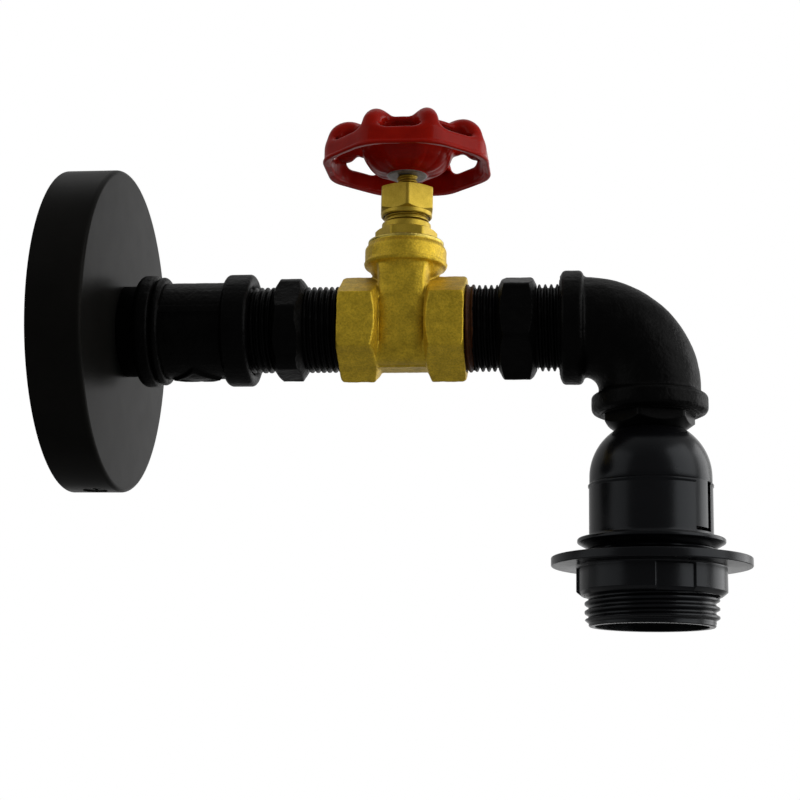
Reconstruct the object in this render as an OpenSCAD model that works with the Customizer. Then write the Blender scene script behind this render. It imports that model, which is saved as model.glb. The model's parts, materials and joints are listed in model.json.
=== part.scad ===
// Wall light made of threaded pipe fittings, a gate valve and a screw lampholder.
// Millimetres. The wall is the plane X = 0, X runs out along the pipe and Z is up along the valve stem.

/* [Wall plate] */
// Outside diameter of the wall plate
plate_d = 100; // [90:1:130]
// Depth of the wall plate, from the wall to its front
plate_depth = 16.5; // [16:0.5:24]
// Sheet thickness of the wall plate
plate_wall = 1.5; // [1:0.1:2]
// Radius of the rounded front edge of the plate
plate_edge_r = 1.4; // [1:0.1:3]
// Diameter of the two screw holes in the plate's rim
rim_hole_d = 7.6; // [7.4:0.1:8.4]
// Distance of the side screws from the wall
side_screw_x = 9.1; // [7:0.1:10]

/* [Mounting bracket] */
// Width of the bracket strap
strap_w = 18; // [14:1:22]
// Sheet thickness of the bracket strap
strap_t = 2; // [1.5:0.1:2.5]
// Length of the bracket's bent ends along the pipe
tab_l = 14; // [13.5:0.1:14.8]
// Gap between the bracket's bent ends and the plate's rim
tab_gap = 0.35; // [0.3:0.05:0.8]
// Distance between the two wall screw slots
slot_spacing = 60; // [56:1:66]
// End to end length of each wall screw slot
slot_l = 14; // [8:0.5:16]
// Width of each wall screw slot
slot_w = 5; // [4:0.1:6]

/* [Screws] */
// Thread diameter of the side screws and the earth screw
screw_d = 4; // [3:0.1:5]
// Head diameter of the side screws and the earth screw
screw_head_d = 7; // [6.2:0.1:7.2]
// Head height of the side screws and the earth screw
screw_head_h = 2.2; // [1.8:0.1:2.4]
// Length of the side screws under the head
side_screw_l = 6; // [4:0.5:9]
// Distance of the earth screw below the pipe axis
earth_screw_z = 17; // [15:0.5:18]

/* [Pipe thread] */
// Outside diameter of the pipe thread
pipe_d = 26.44; // [25.8:0.02:26.8]
// Pitch of the pipe thread
pipe_pitch = 1.814; // [1.4:0.02:2.2]
// Depth of the pipe thread
pipe_thread_depth = 1.16; // [0.8:0.02:1.4]
// Bore through the nipples
pipe_bore_d = 20; // [16:0.5:21]
// Radial clearance in every screwed pipe joint
thread_gap = 0.08; // [0.04:0.01:0.2]

/* [Plate nipple and lock nut] */
// Distance of the nipple's inner end from the wall
nipple_start_x = 8; // [7.6:0.1:9]
// Length of the plate nipple that is screwed into the coupling
plate_nipple_engaged = 16; // [10:0.5:18]
// Thickness of the lock nut inside the plate
lock_nut_t = 6; // [4:0.5:6.5]
// Width across flats of the lock nut
lock_nut_af = 36; // [32:0.5:37]

/* [Coupling] */
// Overall length of the coupling
coupling_l = 40.8; // [38:0.2:50]
// Diameter of the coupling between its bands
coupling_body_d = 30; // [29.4:0.1:31]
// Diameter of the coupling's bands
coupling_band_d = 34.8; // [33:0.1:37]
// Diameter of the plain neck that meets the wall plate
coupling_neck_d = 28.2; // [28:0.1:29]
// Length of the neck that meets the wall plate
coupling_neck_l = 5.2; // [1:0.1:6]
// Width of the chamfer in the coupling's far mouth
coupling_mouth = 1.2; // [0.5:0.1:1.8]
// Length of the band beside the wall plate
coupling_wall_band_l = 5.3; // [4:0.1:8]
// Length of the band on the far end
coupling_far_band_l = 8.4; // [5:0.1:9]
// Length of the round bead beside the first band
bead_l = 2.6; // [2:0.1:4]
// Space between the first band and the bead
bead_gap = 0.4; // [0.3:0.1:1.5]
// Diameter of the bead
bead_d = 33.7; // [32:0.1:35]
// Width of the coupling's two long ribs
rib_w = 2.4; // [1.5:0.1:4]
// Height of the ribs above the coupling
rib_h = 0.9; // [0.5:0.1:1.6]
// Turn of the ribs about the pipe, up from the front
rib_turn = 12; // [-30:1:40]
// Length of the plain lozenge-shaped pad under the coupling
pad_l = 15; // [8:0.5:17]
// Width of the pad
pad_w = 13.4; // [8:0.1:16]
// Height of the pad above the coupling
pad_h = 0.8; // [0.4:0.1:1.2]

/* [Hex nipple by the wall] */
// Length of this nipple that is screwed into the coupling
wall_nipple_engaged = 12; // [8:0.5:16]
// Bare thread between the coupling and the hexagon
wall_nipple_near = 6.6; // [2:0.1:12]
// Length of the hexagon
wall_hex_l = 9.8; // [6:0.1:14]
// Bare thread between the hexagon and the valve
wall_nipple_far = 10.6; // [2:0.1:16]
// Turn of the hexagon about the pipe
wall_hex_turn = 24; // [0:1:60]

/* [Hex nipple by the lamp] */
// Bare thread between the valve and the hexagon
lamp_nipple_near = 9.8; // [3:0.1:16]
// Length of the hexagon
lamp_hex_l = 11.4; // [6:0.1:14]
// Bare thread between the hexagon and the elbow
lamp_nipple_far = 6.9; // [2:0.1:12]
// Length of this nipple that is screwed into the elbow
lamp_nipple_engaged = 12; // [8:0.5:13]
// Turn of the hexagon about the pipe
lamp_hex_turn = -9; // [-60:1:60]

/* [Nipple hexagons] */
// Width across flats of the two nipple hexagons
nipple_af = 29.6; // [28:0.1:31]
// Diameter that the corners of the hexagon by the wall are turned down to
wall_hex_corner_d = 31.8; // [31:0.1:33]
// Diameter that the corners of the hexagon by the lamp are turned down to
lamp_hex_corner_d = 33.6; // [32:0.1:33.8]
// Length of the turned chamfer on each end of a nipple hexagon
nipple_chamfer = 1.9; // [1:0.1:2.5]

/* [Valve body] */
// Length of the valve body along the pipe
valve_l = 38.4; // [36:0.2:46]
// Width across flats of the valve's end hexagons
valve_af = 29; // [27.8:0.1:32]
// Length of each end hexagon
valve_hex_l = 10.4; // [9:0.1:12]
// Depth of the nipples screwed into the valve
valve_engaged = 9.6; // [7:0.1:10]
// Length of the slope from a hexagon to the middle
valve_slope_l = 1.9; // [1:0.1:2.5]
// Height of the flat-sided housing between the hexagons, either side of the pipe axis
housing_h = 25.6; // [21:0.1:26.4]
// Depth of the flat-sided housing, front to back
housing_d = 22.8; // [19:0.1:24]
// Radius of the housing's lower edges, front and back
housing_edge_r = 7; // [3:0.1:9]
// Bore through the valve's middle
valve_bore_d = 17; // [12:0.5:18]
// Diameter of the round collar
collar_d = 25.3; // [24.4:0.1:28]
// Height of the collar's lower edge above the pipe axis
collar_low_z = 19.2; // [16.4:0.1:21]
// Height of the slope under the collar
collar_slope_h = 5; // [2:0.1:6]
// Run of the slope in under the collar
collar_slope_in = 4.2; // [2:0.1:4.6]
// Height of the collar's top above the pipe axis
collar_top_z = 27.4; // [25.6:0.1:32]
// Radius of the collar's rounded top edge
collar_edge_r = 2.6; // [1:0.1:3.2]

/* [Valve bonnet and packing nut] */
// Diameter of the bonnet's thread in the body
bonnet_thread_d = 16; // [15:0.1:16.6]
// Length of the bonnet's thread in the body
bonnet_thread_l = 6; // [5:0.1:7]
// Width across flats of the bonnet's hexagon
bonnet_af = 17; // [16.4:0.1:19]
// Height of the bonnet's hexagon
bonnet_hex_h = 3.6; // [2:0.1:5]
// Diameter of the round step above the hexagon
bonnet_step_d = 15.2; // [14:0.1:16]
// Height of the round step
bonnet_step_h = 2.4; // [1:0.1:3]
// Diameter of the bonnet's upper thread
bonnet_neck_d = 13.8; // [12.6:0.1:14]
// Length of the bonnet's upper thread
bonnet_neck_l = 7.4; // [6.6:0.1:9]
// Pitch of the bonnet's upper thread
bonnet_pitch = 1.25; // [1:0.05:1.5]
// Bare bonnet thread under the packing nut
bonnet_neck_bare = 2; // [0.5:0.1:2.4]
// Diameter of the packing
packing_d = 10; // [9:0.1:10.6]
// Height of the packing
packing_h = 4; // [3:0.1:5]
// Thickness of the gland ring that presses on the packing
gland_t = 1; // [0.6:0.1:2]
// Width across flats of the packing nut
packing_nut_af = 15.9; // [15.4:0.1:18]
// Overall height of the packing nut
packing_nut_h = 9.3; // [8.6:0.1:11]
// Height of the packing nut's round skirt
packing_skirt_h = 2; // [1:0.1:3]
// Turn of the packing nut about the stem
packing_nut_turn = -22; // [-30:1:30]

/* [Stem and handwheel] */
// Diameter of the stem
stem_d = 6.4; // [6:0.1:7]
// Radial running clearance round the stem
stem_gap = 0.05; // [0.02:0.01:0.09]
// Diameter of the stem's thrust collar
stem_collar_d = 9.4; // [8.4:0.1:9.6]
// Thickness of the stem's thrust collar
stem_collar_t = 2.2; // [1.5:0.1:2.6]
// Length of the stem below its thrust collar
stem_tail_l = 6; // [3:0.5:7]
// Bare stem between the packing nut and the handwheel's hub
stem_bare = 4.2; // [1:0.1:6]
// Width of the stem's square end
stem_square = 4.4; // [3.8:0.1:4.5]
// Diameter of the stem's threaded tip
stem_tip_d = 4; // [3.2:0.1:4.2]
// Diameter of the handwheel's hub
hub_d = 13; // [11:0.1:14]
// Height of the handwheel's hub
hub_h = 7; // [5:0.1:8]
// Width of the handwheel's rim across its eight flats
wheel_af = 51.2; // [49:0.2:60]
// Diameter that rounds off the rim's eight corners
wheel_corner_d = 53.8; // [52:0.2:64]
// Thickness of the rim
rim_t = 2.7; // [2:0.1:4]
// Height of the rim
rim_h = 5.7; // [3.5:0.1:8]
// Height of the rim's lower edge above the hub's lower face
rim_rise = 2.1; // [1:0.1:5]
// Height of the hollow inside the rim, under the grips
rim_hollow_h = 6.6; // [6:0.1:7]
// Number of raised grips round the wheel
grip_count = 8; // [8:1:8]
// Diameter of the circle through the tops of the grips
grip_circle_d = 37; // [36:0.2:39]
// Thickness of a grip
grip_d = 6.8; // [5:0.1:7.4]
// Reach of a grip's arch either side of its top
grip_reach = 4.6; // [4:0.1:5]
// Height of the grips' tops above the hub's lower face
grip_top = 15.7; // [15:0.1:17.5]
// Diameter of the wheel's dished middle
dish_d = 27.6; // [26:0.1:29]
// Diameter of the dish's upper edge
dish_edge_d = 37; // [34:0.1:38]
// Height of the dish's upper edge above the hub's lower face
dish_rise = 12.4; // [12:0.1:14]
// Thickness of the dish
dish_t = 1.9; // [1.4:0.1:2.4]
// Width across flats of the wheel nut
wheel_nut_af = 8; // [7:0.1:10]
// Height of the wheel nut
wheel_nut_h = 3.6; // [2.5:0.1:4]
// Diameter of the washer under the wheel nut
wheel_washer_d = 10; // [9:0.1:12]
// Thickness of the washer under the wheel nut
wheel_washer_t = 0.8; // [0.5:0.1:1.2]

/* [Thread sealant] */
// Length of the sealant squeezed out at the valve's lamp end
sealant_l = 2.8; // [0.5:0.1:4]
// Thickness of the sealant over the thread
sealant_t = 0.3; // [0.2:0.05:0.8]

/* [Elbow] */
// Distance from the elbow's inlet face to the lamp axis
elbow_in = 26.8; // [26:0.1:34]
// Distance from the elbow's outlet face to the pipe axis
elbow_out = 27.4; // [27:0.1:34]
// Radius of the elbow's bend at its middle
bend_r = 19.4; // [18.6:0.1:20]
// Diameter of the elbow's body
elbow_d = 30.6; // [29.6:0.1:32]
// Diameter of the elbow's bands
elbow_band_d = 34.8; // [33:0.1:38]
// Distance from the elbow's inlet face to the far side of its band
elbow_in_band_l = 7.2; // [5:0.1:7.3]
// Distance from the elbow's outlet face to the far side of its band
elbow_out_band_l = 6.4; // [5:0.1:7.5]
// Radius of the bands' rounded edges, on the coupling too
band_edge_r = 1.5; // [0.6:0.1:2]
// Passage through the elbow's bend
elbow_bore_d = 21; // [16:0.5:22]
// Depth of the elbow's threads
elbow_thread_l = 13.2; // [13.1:0.1:13.4]

/* [Hex bush] */
// Length of the bush that is screwed into the elbow
bush_engaged = 10; // [7:0.1:12]
// Height of the bush's hexagon below the elbow
bush_head_h = 4.6; // [3:0.1:6]
// Width across flats of the bush's hexagon
bush_af = 24.4; // [23:0.1:28]
// Height of the straight part of the hexagon
bush_flat_h = 1.8; // [0.5:0.1:2.6]
// Diameter of the bush's lower end
bush_end_d = 20.8; // [16:0.1:22]
// Turn of the bush about the lamp axis
bush_turn = 15; // [0:1:60]

/* [Lampholder nipple] */
// Thread diameter of the lampholder's hollow nipple
holder_thread_d = 10; // [9:0.1:11]
// Pitch of the lampholder's hollow nipple
holder_pitch = 1; // [0.75:0.05:1.5]
// Depth of the lampholder nipple's thread
holder_thread_depth = 0.55; // [0.4:0.05:0.7]
// Bore of the lampholder's hollow nipple
holder_bore_d = 7.2; // [6.6:0.1:7.4]
// Reach of the hollow nipple above the bush
holder_nipple_up = 2; // [1:0.1:4]
// Depth of the hollow nipple in the lampholder cap
holder_nipple_down = 8.6; // [6:0.1:9]

/* [Lampholder cap] */
// Height of the lampholder cap
cap_h = 16.3; // [15:0.1:18]
// Radius of the cap's dome in section
dome_r = 16.8; // [15.6:0.1:17]
// Step in from the shell to the cap at their seam
cap_step = 0.15; // [0:0.05:0.6]
// Depth of the threaded boss inside the cap
cap_boss_h = 8; // [6:0.1:9]
// Outside diameter of the threaded boss inside the cap
cap_boss_d = 16; // [13:0.1:17]
// Length of the cap's spigot inside the shell
spigot_l = 3.4; // [2:0.1:4]
// Wall of the cap's spigot
spigot_wall = 1.7; // [1.2:0.1:2.2]
// Width of the lock tab
tab_width = 6.4; // [5:0.1:7]
// Length of the lock tab below the cap
lock_tab_l = 13.7; // [10:0.1:14]
// Thickness of the lock tab
lock_tab_t = 1.1; // [0.9:0.1:1.2]
// Turn of the lock tab about the lamp axis
lock_tab_turn = -36; // [-60:1:0]

/* [Lampholder shell] */
// Wall of the shell above its collar
shell_wall = 1.65; // [1.4:0.05:2.2]
// Reach of the small lip on the shell's upper edge beyond the shell
shell_lip_out = 0.25; // [0.1:0.05:0.6]
// Height of the small lip on the shell's upper edge
shell_lip_h = 0.7; // [0.4:0.1:1.5]
// Height of the shell's upper part, from its edge to the collar's middle
shell_upper_h = 16.8; // [15.8:0.1:18]
// Reach of the collar beyond the shell
shell_collar_out = 3.5; // [2.8:0.1:4.6]
// Thickness of the collar's edge
shell_collar_t = 1.4; // [0.8:0.1:2]
// Height of the slopes above and below the collar's edge
shell_collar_slope = 1.5; // [1:0.1:1.8]
// Length of the shell's outside thread
ring_thread_l = 21.8; // [18:0.1:24]
// Outside diameter of the shell's thread
ring_thread_d = 39.2; // [38.6:0.1:40.4]
// Depth of the shell's outside thread
ring_thread_depth = 1.1; // [0.6:0.1:1.2]
// Pitch of the shell's outside thread
ring_pitch = 2.53; // [2:0.01:3]
// Height of the plain lip at the shell's mouth
mouth_lip_h = 1; // [0.5:0.1:2]
// Diameter of the recess in the shell's mouth
mouth_d = 33.2; // [29:0.1:34]
// Depth of the recess in the shell's mouth
mouth_depth = 2.4; // [1:0.1:4]
// Width of the window for the lock tab
window_w = 8.1; // [7.6:0.1:10]
// Depth of the window from the shell's upper edge
window_h = 14.8; // [14.2:0.1:15.2]
// Turn of the window about the lamp axis
window_turn = -34; // [-60:1:0]

/* [Lamp screw socket] */
// Least diameter of the socket's thread
socket_d = 24.5; // [24.36:0.02:24.8]
// Greatest diameter of the socket's thread
socket_root_d = 26.7; // [26.5:0.02:27]
// Pitch of the socket's thread
socket_pitch = 3.629; // [3.4:0.01:3.8]
// Number of turns in the socket's thread
socket_turns = 5; // [3:1:5]

/* [Lampholder insert] */
// Diameter of the insert
insert_d = 32.8; // [31.6:0.1:32.9]
// Radial gap round the insert and the cap's spigot
insert_gap = 0.15; // [0.1:0.05:0.3]
// Height of the insert
insert_h = 10; // [8:0.1:10.4]
// Distance of each terminal screw from the lamp axis
terminal_x = 7; // [6.4:0.1:9]
// Head diameter of the terminal screws
terminal_head_d = 5.2; // [4.2:0.1:5.6]
// Head height of the terminal screws
terminal_head_h = 1.6; // [1:0.1:2]
// Thread diameter of the terminal screws
terminal_d = 3; // [2.4:0.1:3.4]
// Length of the terminal screws under the head
terminal_l = 6; // [4:0.1:7]
// Width of the brass contacts
contact_w = 5; // [3:0.1:7]
// Thickness of the brass contacts
contact_t = 0.6; // [0.4:0.1:1]
// Drop of the centre contact's tongue
contact_drop = 2.4; // [1:0.1:3]
// Length of the side contact
side_contact_l = 4.6; // [3:0.1:5]

/* [Shade ring] */
// Diameter of the shade ring
shade_ring_d = 58.8; // [54:0.2:64]
// Thickness of the shade ring's disc
shade_ring_t = 2.6; // [1.6:0.1:4]
// Distance of the ring's top below the collar
shade_gap = 2.7; // [0.6:0.1:4]
// Diameter of the ring's skirt
skirt_d = 44; // [42.4:0.1:48]
// Height of the ring's skirt
skirt_h = 8.6; // [6:0.1:9]
// Chamfer on the skirt's lower edge
skirt_chamfer = 1.4; // [0.5:0.1:1.6]
// Number of grip recesses in the skirt
recess_count = 4; // [2:1:6]
// Width of each grip recess, in degrees
recess_angle = 30.6; // [15:0.2:45]
// Depth of each grip recess
recess_depth = 0.8; // [0.4:0.1:1]
// Turn of the first recess about the lamp axis
recess_turn = -73; // [-90:1:0]
// Radial clearance of the ring on the shell's thread
ring_gap = 0.08; // [0.04:0.01:0.1]

/* [Terminal block and wires] */
// Diameter of a wire with its insulation
wire_d = 2.2; // [1.6:0.1:2.4]
// Distance between the two lamp wires
wire_spacing = 2.6; // [2.5:0.1:2.7]
// Distance of the wires from the wall inside the plate
wire_x = 5.2; // [5:0.1:5.4]
// Bend of the wires into the pipe
wire_bend_r = 4; // [3:0.1:6]
// Distance from the pipe axis to the terminal block
block_y = 24; // [22.5:0.5:26]
// Width of the terminal block
block_w = 12; // [10:0.5:14]
// Distance between the ways of the terminal block
block_pitch = 8; // [7:0.1:9]
// Distance of the terminal block from the wall
block_back = 1.8; // [1:0.1:2]
// Diameter of the wire entries in the terminal block
block_entry_d = 2.8; // [2.6:0.1:3.2]
// Diameter of the terminal block's screws
block_screw_d = 3; // [2.4:0.1:3.2]

/* [Hidden] */
$fn = 96;
arc_steps = 5;
hex_sides = 6;
cut = 1;
sqrt3 = sqrt(3);
steel_black = [0.05, 0.05, 0.055];
iron_black = [0.06, 0.06, 0.065];
zinc = [0.62, 0.63, 0.64];
brass = [0.72, 0.58, 0.22];
red_paint = [0.5, 0.03, 0.03];
plastic_black = [0.035, 0.035, 0.04];
copper_brown = [0.35, 0.16, 0.06];

thread_wall = 1;
stem_thrust_gap = 0.1;
stem_chamber_floor = 0.6;
valve_cavity_d = 13;
housing_step = 0.3;
bonnet_turn = 8;
packing_nut_gap = 0.35;
elbow_lip_l = 0.5;
dome_skirt = 2.3;
dome_steps = 9;
cap_roof = 4;
side_contact_in = 0.6;
tag_t = 0.8;
tag_d = 8;
barrel_d = 3.2;
barrel_start = 8;
barrel_l = 5;
block_screw_h = 1.4;
block_ways = 3;
block_margin = 1;
wire_lead = 2;
wire_joint_extra = 0.1;
screw_gap = 0.05;
cross_length = 0.6;
cross_width = 0.16;
bead_round = 0.49;
plate_inside_edge = 0.4;
elbow_lip_wall = 1.2;
lock_tab_gap = 0.4;
mouth_lip_step = 0.1;
dish_foot = 0.6;
dish_toe = 2;
dish_toe_rise = 0.4;
dish_low_h = 3;
dish_mid_h = 6;
dish_curve = 1.4;
dish_lip = 0.6;
dish_step = 1;

plate_r = plate_d / 2;
plate_front_inside = plate_depth - plate_wall;
pipe_r = pipe_d / 2;
pipe_root_r = pipe_r - pipe_thread_depth;
female_r = pipe_r + thread_gap;
pipe_bore_r = pipe_bore_d / 2;

coupling_x = plate_depth;
coupling_end = coupling_x + coupling_l;
wall_hex_x = coupling_end + wall_nipple_near;
valve_x = wall_hex_x + wall_hex_l + wall_nipple_far;
valve_end = valve_x + valve_l;
stem_x = valve_x + valve_l / 2;
lamp_hex_x = valve_end + lamp_nipple_near;
elbow_x = lamp_hex_x + lamp_hex_l + lamp_nipple_far;
lamp_x = elbow_x + elbow_in;

bonnet_z = collar_top_z;
bonnet_step_z = bonnet_z + bonnet_hex_h;
bonnet_neck_z = bonnet_step_z + bonnet_step_h;
bonnet_top_z = bonnet_neck_z + bonnet_neck_l;
packing_nut_z = bonnet_neck_z + bonnet_neck_bare;
packing_nut_top = packing_nut_z + packing_nut_h;
packing_z = bonnet_top_z - packing_h;
stem_r = stem_d / 2;
stem_collar_z = bonnet_z - bonnet_thread_l + stem_thrust_gap + stem_chamber_floor;
stem_chamber_top = stem_collar_z + stem_collar_t + stem_thrust_gap;
hub_z = packing_nut_top + stem_bare;
hub_top = hub_z + hub_h;
wheel_nut_z = hub_top + wheel_washer_t;

shell_r = insert_d / 2 + insert_gap + shell_wall;
cap_r = shell_r - cap_step;

bush_z = -elbow_out;
cap_z = bush_z - bush_head_h;
seam_z = cap_z - cap_h;
collar_z = seam_z - shell_upper_h;
collar_under_z = collar_z - shell_collar_t / 2 - shell_collar_slope;
mouth_z = collar_under_z - ring_thread_l - mouth_lip_h;
ring_z = collar_under_z - shade_gap;
ledge_z = seam_z - spigot_l - insert_h;
socket_low = mouth_z + mouth_depth;
socket_high = socket_low + socket_turns * socket_pitch;

elbow_lip_r = pipe_r + elbow_lip_wall;
lock_tab_r = insert_d / 2 + lock_tab_gap;
barrel_x = strap_t + barrel_d / 2;
block_l = block_ways * block_pitch + 2 * block_margin;
tab_z = sqrt(pow(plate_r - plate_wall, 2) - pow(strap_w / 2, 2)) - tab_gap;

// Points of an arc in a section, from one angle to another
function arc(centre, r, from, to) = [
    for (i = [0 : arc_steps])
        let (a = from + (to - from) * i / arc_steps)
        centre + r * [cos(a), sin(a)]
];

// Outer side of a band in a section, with both edges rounded
function band_points(low, high, r, edge) = concat(
    arc([r - edge, low + edge], edge, -90, 0),
    arc([r - edge, high - edge], edge, 0, 90)
);

// Outer side of a thread in a section, made of rings
function thread_points(low, length, root_r, crest_r, pitch) =
    let (turns = floor(length / pitch))
    let (start = low + (length - turns * pitch) / 2)
    concat(
        [[root_r, low]],
        [for (i = [0 : turns - 1]) each [
            [root_r, start + (i + 1 / 16) * pitch],
            [crest_r, start + (i + 7 / 16) * pitch],
            [crest_r, start + (i + 9 / 16) * pitch],
            [root_r, start + (i + 15 / 16) * pitch]
        ]],
        [[root_r, low + length]]
    );

// Turns a section of [radius, distance] about the pipe axis
module turn_on_pipe() {
    rotate([0, 90, 0]) rotate_extrude() children();
}

// Turns a section of [radius, height] about the valve stem
module turn_on_stem() {
    translate([stem_x, 0, 0]) rotate_extrude() children();
}

// Turns a section of [radius, height] about the lamp axis
module turn_on_lamp() {
    translate([lamp_x, 0, 0]) rotate_extrude() children();
}

// Round bar along X
module bar_x(x, length, d) {
    translate([x, 0, 0]) rotate([0, 90, 0]) cylinder(d = d, h = length);
}

// Round bar along Y
module bar_y(y, length, d) {
    translate([0, y, 0]) rotate([-90, 0, 0]) cylinder(d = d, h = length);
}

// Hexagonal prism standing along Z
module hex_prism(z, h, af) {
    translate([0, 0, z]) cylinder(d = 2 * af / sqrt3, h = h, $fn = hex_sides);
}

// Hexagonal prism along X with one corner up
module hex_prism_x(x, length, af) {
    rotate([0, 90, 0]) hex_prism(x, length, af);
}

// Two-start cross recess cut into a screw head along Z
module cross_recess(d, depth) {
    for (turn = [0, 90])
        rotate([0, 0, turn]) cube([d * cross_length, d * cross_width, 2 * depth], center = true);
}

module wall_plate() {
    inside_r = plate_r - plate_wall - plate_inside_edge;
    inside_x = plate_front_inside - plate_inside_edge;
    color(steel_black)
        difference() {
            turn_on_pipe() polygon(concat(
                [[female_r, plate_front_inside], [female_r, plate_depth]],
                arc([plate_r - plate_edge_r, plate_depth - plate_edge_r], plate_edge_r, 90, 0),
                [[plate_r, 0], [plate_r - plate_wall, 0]],
                arc([inside_r, inside_x], plate_inside_edge, 0, 90)
            ));
            translate([side_screw_x, 0, -plate_r - cut])
                cylinder(d = rim_hole_d, h = plate_d + 2 * cut);
        }
}

module bracket_slot() {
    translate([-cut, -slot_w / 2, -(slot_l - slot_w) / 2])
        cube([strap_t + 2 * cut, slot_w, slot_l - slot_w]);
    for (end = [-1, 1])
        translate([0, 0, end * (slot_l - slot_w) / 2]) bar_x(-cut, strap_t + 2 * cut, slot_w);
}

module mounting_bracket() {
    color(zinc)
        difference() {
            translate([0, -strap_w / 2, -tab_z]) cube([tab_l, strap_w, 2 * tab_z]);
            translate([strap_t, -strap_w / 2 - cut, -tab_z + strap_t])
                cube([tab_l, strap_w + 2 * cut, 2 * (tab_z - strap_t)]);
            for (side = [-1, 1])
                translate([0, 0, side * slot_spacing / 2]) bracket_slot();
            translate([side_screw_x, 0, -tab_z - cut])
                cylinder(d = screw_d + 2 * screw_gap, h = 2 * (tab_z + cut));
            translate([0, 0, -earth_screw_z]) bar_x(-cut, strap_t + 2 * cut, screw_d + 2 * screw_gap);
        }
}

// Screw with its head's seat at zero and its head up
module pan_screw(length) {
    recess_depth = screw_head_h / 2;
    translate([0, 0, -length]) cylinder(d = screw_d, h = length + recess_depth / 2);
    difference() {
        cylinder(d = screw_head_d, h = screw_head_h);
        translate([0, 0, screw_head_h]) cross_recess(screw_head_d, recess_depth);
    }
}

module side_screws() {
    color(steel_black)
        for (turn = [0, 180])
            translate([side_screw_x, 0, 0]) rotate([turn, 0, 0]) translate([0, 0, tab_z])
                pan_screw(side_screw_l);
}

module earth_screw() {
    color(brass)
        translate([strap_t + tag_t, 0, -earth_screw_z]) rotate([0, 90, 0])
            pan_screw(strap_t + tag_t - screw_gap);
}

module earth_tag() {
    color(zinc)
        translate([0, 0, -earth_screw_z])
            difference() {
                union() {
                    bar_x(strap_t, tag_t, tag_d);
                    translate([strap_t, 0, -barrel_d / 2]) cube([tag_t, barrel_start + cut, barrel_d]);
                    translate([barrel_x, 0, 0]) bar_y(barrel_start, barrel_l, barrel_d);
                }
                bar_x(-cut, plate_depth, screw_d + 2 * screw_gap);
            }
}

module block_screw_places() {
    for (way = [-1, 0, 1], y = [block_y + block_w / 4, block_y + 3 * block_w / 4])
        translate([0, y, way * block_pitch]) children();
}

module terminal_block() {
    color("ivory")
        difference() {
            translate([block_back, block_y, -block_l / 2])
                cube([plate_front_inside - block_back, block_w, block_l]);
            for (way = [-1, 0, 1])
                translate([wire_x, 0, way * block_pitch])
                    bar_y(block_y - cut, block_w + 2 * cut, block_entry_d);
            block_screw_places() bar_x(block_back - cut, block_screw_h + cut, block_screw_d + 2 * screw_gap);
        }
}

module block_screws() {
    slot_depth = block_screw_h / 2;
    color(zinc)
        block_screw_places()
            difference() {
                bar_x(block_back, block_screw_h, block_screw_d);
                translate([block_back, 0, 0])
                    cube([2 * slot_depth, 2 * block_screw_d, block_screw_d / 5], center = true);
            }
}

module lock_nut() {
    x = plate_front_inside - lock_nut_t;
    color(zinc)
        difference() {
            hex_prism_x(x, lock_nut_t, lock_nut_af);
            bar_x(x - cut, lock_nut_t + 2 * cut, 2 * female_r);
        }
}

// Pipe nipple's thread from one distance to another
module pipe_thread(x, length) {
    turn_on_pipe() polygon(concat(
        [[pipe_bore_r, x]],
        thread_points(x, length, pipe_root_r, pipe_r, pipe_pitch),
        [[pipe_bore_r, x + length]]
    ));
}

module plate_nipple() {
    color(steel_black)
        pipe_thread(nipple_start_x, coupling_x + plate_nipple_engaged - nipple_start_x);
}

module coupling() {
    body_r = coupling_body_d / 2;
    band_r = coupling_band_d / 2;
    neck_r = coupling_neck_d / 2;
    wall_band = coupling_x + coupling_neck_l;
    wall_band_end = wall_band + coupling_wall_band_l;
    bead_x = wall_band_end + bead_gap;
    far_band = coupling_end - coupling_far_band_l;
    rib_x = bead_x + bead_l / 2;
    pad_x = (bead_x + bead_l + far_band) / 2;
    bead_edge = bead_l * bead_round;
    color(iron_black)
        difference() {
            union() {
                turn_on_pipe() polygon(concat(
                    [[female_r, coupling_x], [neck_r, coupling_x], [neck_r, wall_band]],
                    band_points(wall_band, wall_band_end, band_r, band_edge_r),
                    [[body_r, wall_band_end], [body_r, bead_x]],
                    band_points(bead_x, bead_x + bead_l, bead_d / 2, bead_edge),
                    [[body_r, bead_x + bead_l], [body_r, far_band]],
                    band_points(far_band, coupling_end, band_r, band_edge_r),
                    [[female_r + coupling_mouth, coupling_end], [female_r, coupling_end - coupling_mouth]]
                ));
                for (turn = [0, 180])
                    rotate([turn - rib_turn, 0, 0])
                        translate([rib_x, -body_r - rib_h, -rib_w / 2])
                            cube([far_band + band_edge_r - rib_x, rib_h + thread_wall, rib_w]);
                intersection() {
                    translate([pad_x, 0, -body_r - pad_h]) cast_pad(body_r + pad_h);
                    bar_x(coupling_x, coupling_l, 2 * (body_r + pad_h));
                }
            }
            bar_x(coupling_x - cut, coupling_l + 2 * cut, 2 * female_r);
        }
}

// Lozenge-shaped prism, standing on zero
module cast_pad(h) {
    linear_extrude(h) polygon([[-pad_l / 2, 0], [0, -pad_w / 2], [pad_l / 2, 0], [0, pad_w / 2]]);
}

// Hexagon along X with its corners turned off at both ends
module turned_hex_x(x, length, af, corner_r, chamfer, low_r) {
    intersection() {
        hex_prism_x(x, length, af);
        turn_on_pipe() polygon([
            [0, x], [low_r, x], [corner_r, x + chamfer],
            [corner_r, x + length - chamfer], [low_r, x + length], [0, x + length]
        ]);
    }
}

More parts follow.
